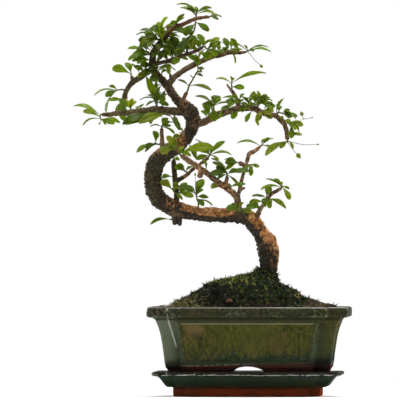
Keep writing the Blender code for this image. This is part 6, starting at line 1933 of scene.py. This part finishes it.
def limb_radius(points, runs):
    """Radius of the nearest limb at each point."""
    rows = np.concatenate([curved(run, 1.0) for run in runs.values()])
    tree = kdtree.KDTree(len(rows))
    for i, row in enumerate(rows):
        tree.insert(row[:3], i)
    tree.balance()
    return rows[[tree.find(point)[1] for point in points], 3] / 2


def bark_plates(points):
    """Distance from the cracks between bark plates."""
    made = np.empty(len(points))
    for i, row in enumerate(points / PLATE_SIZE + BARK_SEED):
        distances = noise.voronoi(Vector(row))[0]
        made[i] = distances[1] - distances[0]
    return made


def grow_limbs(runs, voxel):
    """The limbs as one closed and softened piece."""
    points, faces = [], []
    for name, run in runs.items():
        rings = limb_rings(name, run)
        faces += skin(len(rings), len(rings[0]), sum(len(part) for part in points))
        points.append(np.concatenate(rings))
    wood = new_object("tree_wood", mesh_of("tree_wood", np.concatenate(points), faces))
    step = wood.modifiers.new("grow together", "REMESH")
    step.mode = "VOXEL"
    step.voxel_size = voxel
    settle(wood)
    step = wood.modifiers.new("soften", "SMOOTH")
    step.factor = 0.5
    step.iterations = 2
    settle(wood)
    return wood


def flakes_and_painted_light(points, normals):
    """How far the bark has flaked down to warm wood at each point, partly painted light on the
    faces that the light falls on.
    """
    warm = np.zeros(len(points))
    for across, depth, height, reach, facing, strength in WARM_BARK:
        centre = np.array(spread((across, depth, height)))
        gone = np.linalg.norm(points - centre, axis=1)
        # A place kept to one facing warms only that side: painted light where the light falls.
        face = 1.0
        if any(facing):
            face = smooth(normals @ (np.array(facing, float) / np.linalg.norm(facing)), -0.2, 0.45)
        warm = np.maximum(warm, strength * face * (1 - smooth(gone, reach * 0.45, reach)))
    ragged = grain(points, 4.0, 40.0) * 0.5 + grain(points, 1.8, 50.0) * 0.35
    return np.clip(warm + ragged * np.minimum(1.0, warm * 2.2), 0, 1)


def build_wood(sizes, colours):
    """Trunk, branches and twigs grown together, with cracked, flaking bark whose warm colour is
    partly painted light.
    """
    runs = limb_runs()
    wood = grow_limbs(runs, sizes.wood_voxel)
    mesh = wood.data
    points, normals = points_of(mesh), normals_of(mesh)
    stout = smooth(limb_radius(points, runs), 1.6, 6.0)
    warm = flakes_and_painted_light(points, normals)
    crack = (1 - smooth(bark_plates(points), 0.0, 0.3)) * (1 - 0.65 * warm)
    broad, knobs, fine = grain(points, 7.0, 3.0), grain(points, 3.2, 8.0), grain(points, 1.5, 14.0)
    relief = stout * (0.75 * broad + 0.55 * knobs - 0.75 * crack) + (0.12 + 0.25 * stout) * fine
    relief += (1 - stout) * (0.26 + 0.3 * knobs) + 0.12
    points += normals * (relief * sizes.bark_relief / MM)[:, None]
    tag(mesh, "bark", np.column_stack((warm, crack * stout, 1 - stout)))
    move_points(mesh, to_world(points))
    hand_over(wood, bark_finish(colours), "bark", ["wood"], 75)


# Screens and stage

def build_screens(sizes, colours):
    """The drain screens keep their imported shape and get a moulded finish."""
    finish = net_finish(colours)
    for name in ("drain_screen_left", "drain_screen_right"):
        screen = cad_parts[name]
        for holder in screen.material_slots:
            holder.material = finish


def add_light(name, place, size, power, mirrored):
    """A square soft light that points at the tree and isn't seen itself."""
    data = bpy.data.lights.new(name, "AREA")
    data.shape = "SQUARE"
    data.size = size
    data.energy = power
    lamp = bpy.data.objects.new(name, data)
    bpy.context.scene.collection.objects.link(lamp)
    lamp.location = place
    way = LIGHT_TARGET - Vector(place)
    lamp.rotation_euler = way.to_track_quat("-Z", "Y").to_euler()
    lamp.visible_camera = False
    lamp.visible_glossy = mirrored


def add_floor():
    """A round pale floor that the glaze doesn't mirror."""
    bm = bmesh.new()
    bmesh.ops.create_circle(bm, cap_ends=True, segments=96, radius=FLOOR_RADIUS)
    mesh = bpy.data.meshes.new("floor")
    bm.to_mesh(mesh)
    bm.free()
    mesh.materials.append(floor_finish())
    floor = new_object("floor", mesh)
    floor.visible_glossy = False


def add_world(fill):
    """Even light from all round, in front of a plain white backdrop."""
    world = bpy.data.worlds.new("soft_studio")
    world.use_nodes = True
    sky = Tree(world.node_tree)
    sky.tree.nodes.clear()
    seen = sky.node("ShaderNodeLightPath", None, None, "Is Camera Ray")
    light = sky.node("ShaderNodeBackground", None, {0: (1, 1, 1, 1), 1: fill})
    backdrop = sky.node("ShaderNodeBackground", None, {0: (1, 1, 1, 1), 1: 1.0})
    both = sky.node("ShaderNodeMixShader", None, {0: seen, 1: light, 2: backdrop})
    sky.node("ShaderNodeOutputWorld", None, {0: both})
    bpy.context.scene.world = world


def add_camera():
    """A level camera far in front, square to the tree's picture plane."""
    scene = bpy.context.scene
    forward = Vector((-math.sin(TREE_TURN), math.cos(TREE_TURN), 0))
    right = Vector((math.cos(TREE_TURN), math.sin(TREE_TURN), 0))
    data = bpy.data.cameras.new("camera")
    data.sensor_width = 36.0
    data.lens = LENS_PER_METRE * CAMERA_DISTANCE
    data.clip_end = 100.0
    camera = bpy.data.objects.new("camera", data)
    scene.collection.objects.link(camera)
    camera.location = right * CAMERA_SHIFT + UP * CAMERA_HEIGHT - forward * CAMERA_DISTANCE
    camera.rotation_euler = (math.radians(90), 0, TREE_TURN)
    scene.camera = camera
    scene.view_settings.view_transform = "Standard"


def build_stage(sizes, colours):
    """Pale floor, soft light from behind and above, and a level camera far in front."""
    add_floor()
    add_world(sizes.fill_light)
    for name, place, size, power, mirrored in LIGHTS:
        add_light(name, place, size, power * sizes.studio_power, mirrored)
    add_camera()


# Add-on

def length(name, description, default):
    return FloatProperty(name=name, description=description, default=default, min=0.0,
                         subtype="DISTANCE", unit="LENGTH", precision=5)


def colour(name, description, default):
    return FloatVectorProperty(name=name, description=description, default=default, size=3,
                               subtype="COLOR", min=0.0, max=1.0)


class BonsaiSizes(bpy.types.PropertyGroup):
    """Sizes that a user may change."""

    wood_voxel: length("Wood Cell", "Cell size that the limbs are grown together with", 0.00078)
    bark_relief: length("Bark Relief", "Height of the bark's lumps and cracks", 0.0015)
    glaze_ripple: length("Glaze Ripple", "Height of the waves in the glaze", 0.00016)
    moss_shoot: length("Moss Shoot", "Length of a shoot of moss", 0.0027)
    crumb_size: length("Crumb", "Radius of a crumb of soil", 0.0010)
    fill_light: FloatProperty(name="Fill Light", description="Even light from all round",
                              default=0.14, min=0.0)
    studio_power: FloatProperty(name="Studio Power", description="Strength of the soft lights",
                                default=1.0, min=0.0)


class BonsaiColours(bpy.types.PropertyGroup):
    """Colours that a user may change."""

    olive: colour("Olive Glaze", "Dark glaze inside the pot's panels", (0.022, 0.025, 0.003))
    frame_glaze: colour("Frame Glaze", "Glaze on the pot's frames and lip", (0.060, 0.070, 0.030))
    saucer_glaze: colour("Saucer Glaze", "Glaze of the saucer", (0.013, 0.020, 0.008))
    terracotta: colour("Clay", "Unglazed clay of the saucer's foot", (0.21, 0.022, 0.001))
    soil: colour("Soil", "Moist potting soil", (0.035, 0.02, 0.012))
    moss_dark: colour("Dark Moss", "Moss in shade", (0.02, 0.03, 0.007))
    moss_bright: colour("Bright Moss", "Tips of the moss", (0.09, 0.12, 0.02))
    bark: colour("Bark", "Old grey bark", (0.060, 0.047, 0.031))
    bark_warm: colour("Flaked Bark", "Warm wood where bark has flaked", (0.46, 0.2, 0.06))
    twig: colour("Twig", "Bark of thin twigs", (0.17, 0.095, 0.042))
    stem: colour("Green Stem", "Stems of the leaves", (0.09, 0.10, 0.02))
    leaf_dark: colour("Dark Leaf", "Old leaves", (0.065, 0.122, 0.003))
    leaf_bright: colour("Bright Leaf", "Grown leaves", (0.15, 0.262, 0.005))
    leaf_young: colour("Young Leaf", "New leaves", (0.42, 0.38, 0.03))
    leaf_glow: colour("Leaf Glow", "Light through a young leaf", (0.50, 0.64, 0.01))
    net: colour("Drain Screen", "Plastic of the drain screens", (0.014, 0.014, 0.013))


def settings(context):
    return context.scene.bonsai_sizes, context.scene.bonsai_colours


class BONSAI_OT_saucer(bpy.types.Operator):
    """Make the oblong saucer with its bare clay foot"""

    bl_idname = "bonsai.saucer"
    bl_label = "Glazed Saucer"
    bl_options = {"REGISTER", "UNDO"}

    def execute(self, context):
        build_saucer(*settings(context))
        return {"FINISHED"}


class BONSAI_OT_pot(bpy.types.Operator):
    """Make the pot with its panels, lip, arches and drain holes"""

    bl_idname = "bonsai.pot"
    bl_label = "Glazed Pot"
    bl_options = {"REGISTER", "UNDO"}

    def execute(self, context):
        build_pot(*settings(context))
        return {"FINISHED"}


class BONSAI_OT_screens(bpy.types.Operator):
    """Give the two drain screens their moulded finish"""

    bl_idname = "bonsai.screens"
    bl_label = "Drain Screens"
    bl_options = {"REGISTER", "UNDO"}

    def execute(self, context):
        build_screens(*settings(context))
        return {"FINISHED"}


class BONSAI_OT_soil(bpy.types.Operator):
    """Make the mound of soil and its crumbs"""

    bl_idname = "bonsai.soil"
    bl_label = "Potting Soil"
    bl_options = {"REGISTER", "UNDO"}

    def execute(self, context):
        build_soil(*settings(context))
        return {"FINISHED"}


class BONSAI_OT_moss(bpy.types.Operator):
    """Make the carpet of moss and its shoots"""

    bl_idname = "bonsai.moss"
    bl_label = "Moss"
    bl_options = {"REGISTER", "UNDO"}

    def execute(self, context):
        build_moss(*settings(context))
        return {"FINISHED"}


class BONSAI_OT_wood(bpy.types.Operator):
    """Grow the trunk, branches and twigs together under their bark"""

    bl_idname = "bonsai.wood"
    bl_label = "Trunk and Branches"
    bl_options = {"REGISTER", "UNDO"}

    def execute(self, context):
        build_wood(*settings(context))
        return {"FINISHED"}


class BONSAI_OT_foliage(bpy.types.Operator):
    """Make the leaves, green stems and buds"""

    bl_idname = "bonsai.foliage"
    bl_label = "Foliage"
    bl_options = {"REGISTER", "UNDO"}

    def execute(self, context):
        build_foliage(*settings(context))
        return {"FINISHED"}


class BONSAI_OT_stage(bpy.types.Operator):
    """Set out the pale floor, the soft lights and the camera"""

    bl_idname = "bonsai.stage"
    bl_label = "Stage"
    bl_options = {"REGISTER", "UNDO"}

    def execute(self, context):
        build_stage(*settings(context))
        return {"FINISHED"}


class BONSAI_PT_parts(bpy.types.Panel):
    """Buttons and values of the bonsai in the sidebar."""

    bl_idname = "BONSAI_PT_parts"
    bl_label = "Fukien Tea Bonsai"
    bl_space_type = "VIEW_3D"
    bl_region_type = "UI"
    bl_category = "Bonsai"

    def draw(self, context):
        layout = self.layout
        for step in STEPS:
            layout.operator(step.bl_idname)
        for group in settings(context):
            box = layout.box()
            for name in group.__annotations__:
                box.prop(group, name)


STEPS = (BONSAI_OT_saucer, BONSAI_OT_pot, BONSAI_OT_screens, BONSAI_OT_soil, BONSAI_OT_moss,
         BONSAI_OT_wood, BONSAI_OT_foliage, BONSAI_OT_stage)
CLASSES = (BonsaiSizes, BonsaiColours, *STEPS, BONSAI_PT_parts)


def register():
    for cls in CLASSES:
        bpy.utils.register_class(cls)
    bpy.types.Scene.bonsai_sizes = PointerProperty(type=BonsaiSizes)
    bpy.types.Scene.bonsai_colours = PointerProperty(type=BonsaiColours)


def unregister():
    del bpy.types.Scene.bonsai_colours
    del bpy.types.Scene.bonsai_sizes
    for cls in reversed(CLASSES):
        bpy.utils.unregister_class(cls)


def main():
    register()
    bpy.ops.bonsai.saucer()
    bpy.ops.bonsai.pot()
    bpy.ops.bonsai.screens()
    bpy.ops.bonsai.soil()
    bpy.ops.bonsai.moss()
    bpy.ops.bonsai.wood()
    bpy.ops.bonsai.foliage()
    bpy.ops.bonsai.stage()


if __name__ == "__main__":
    main()
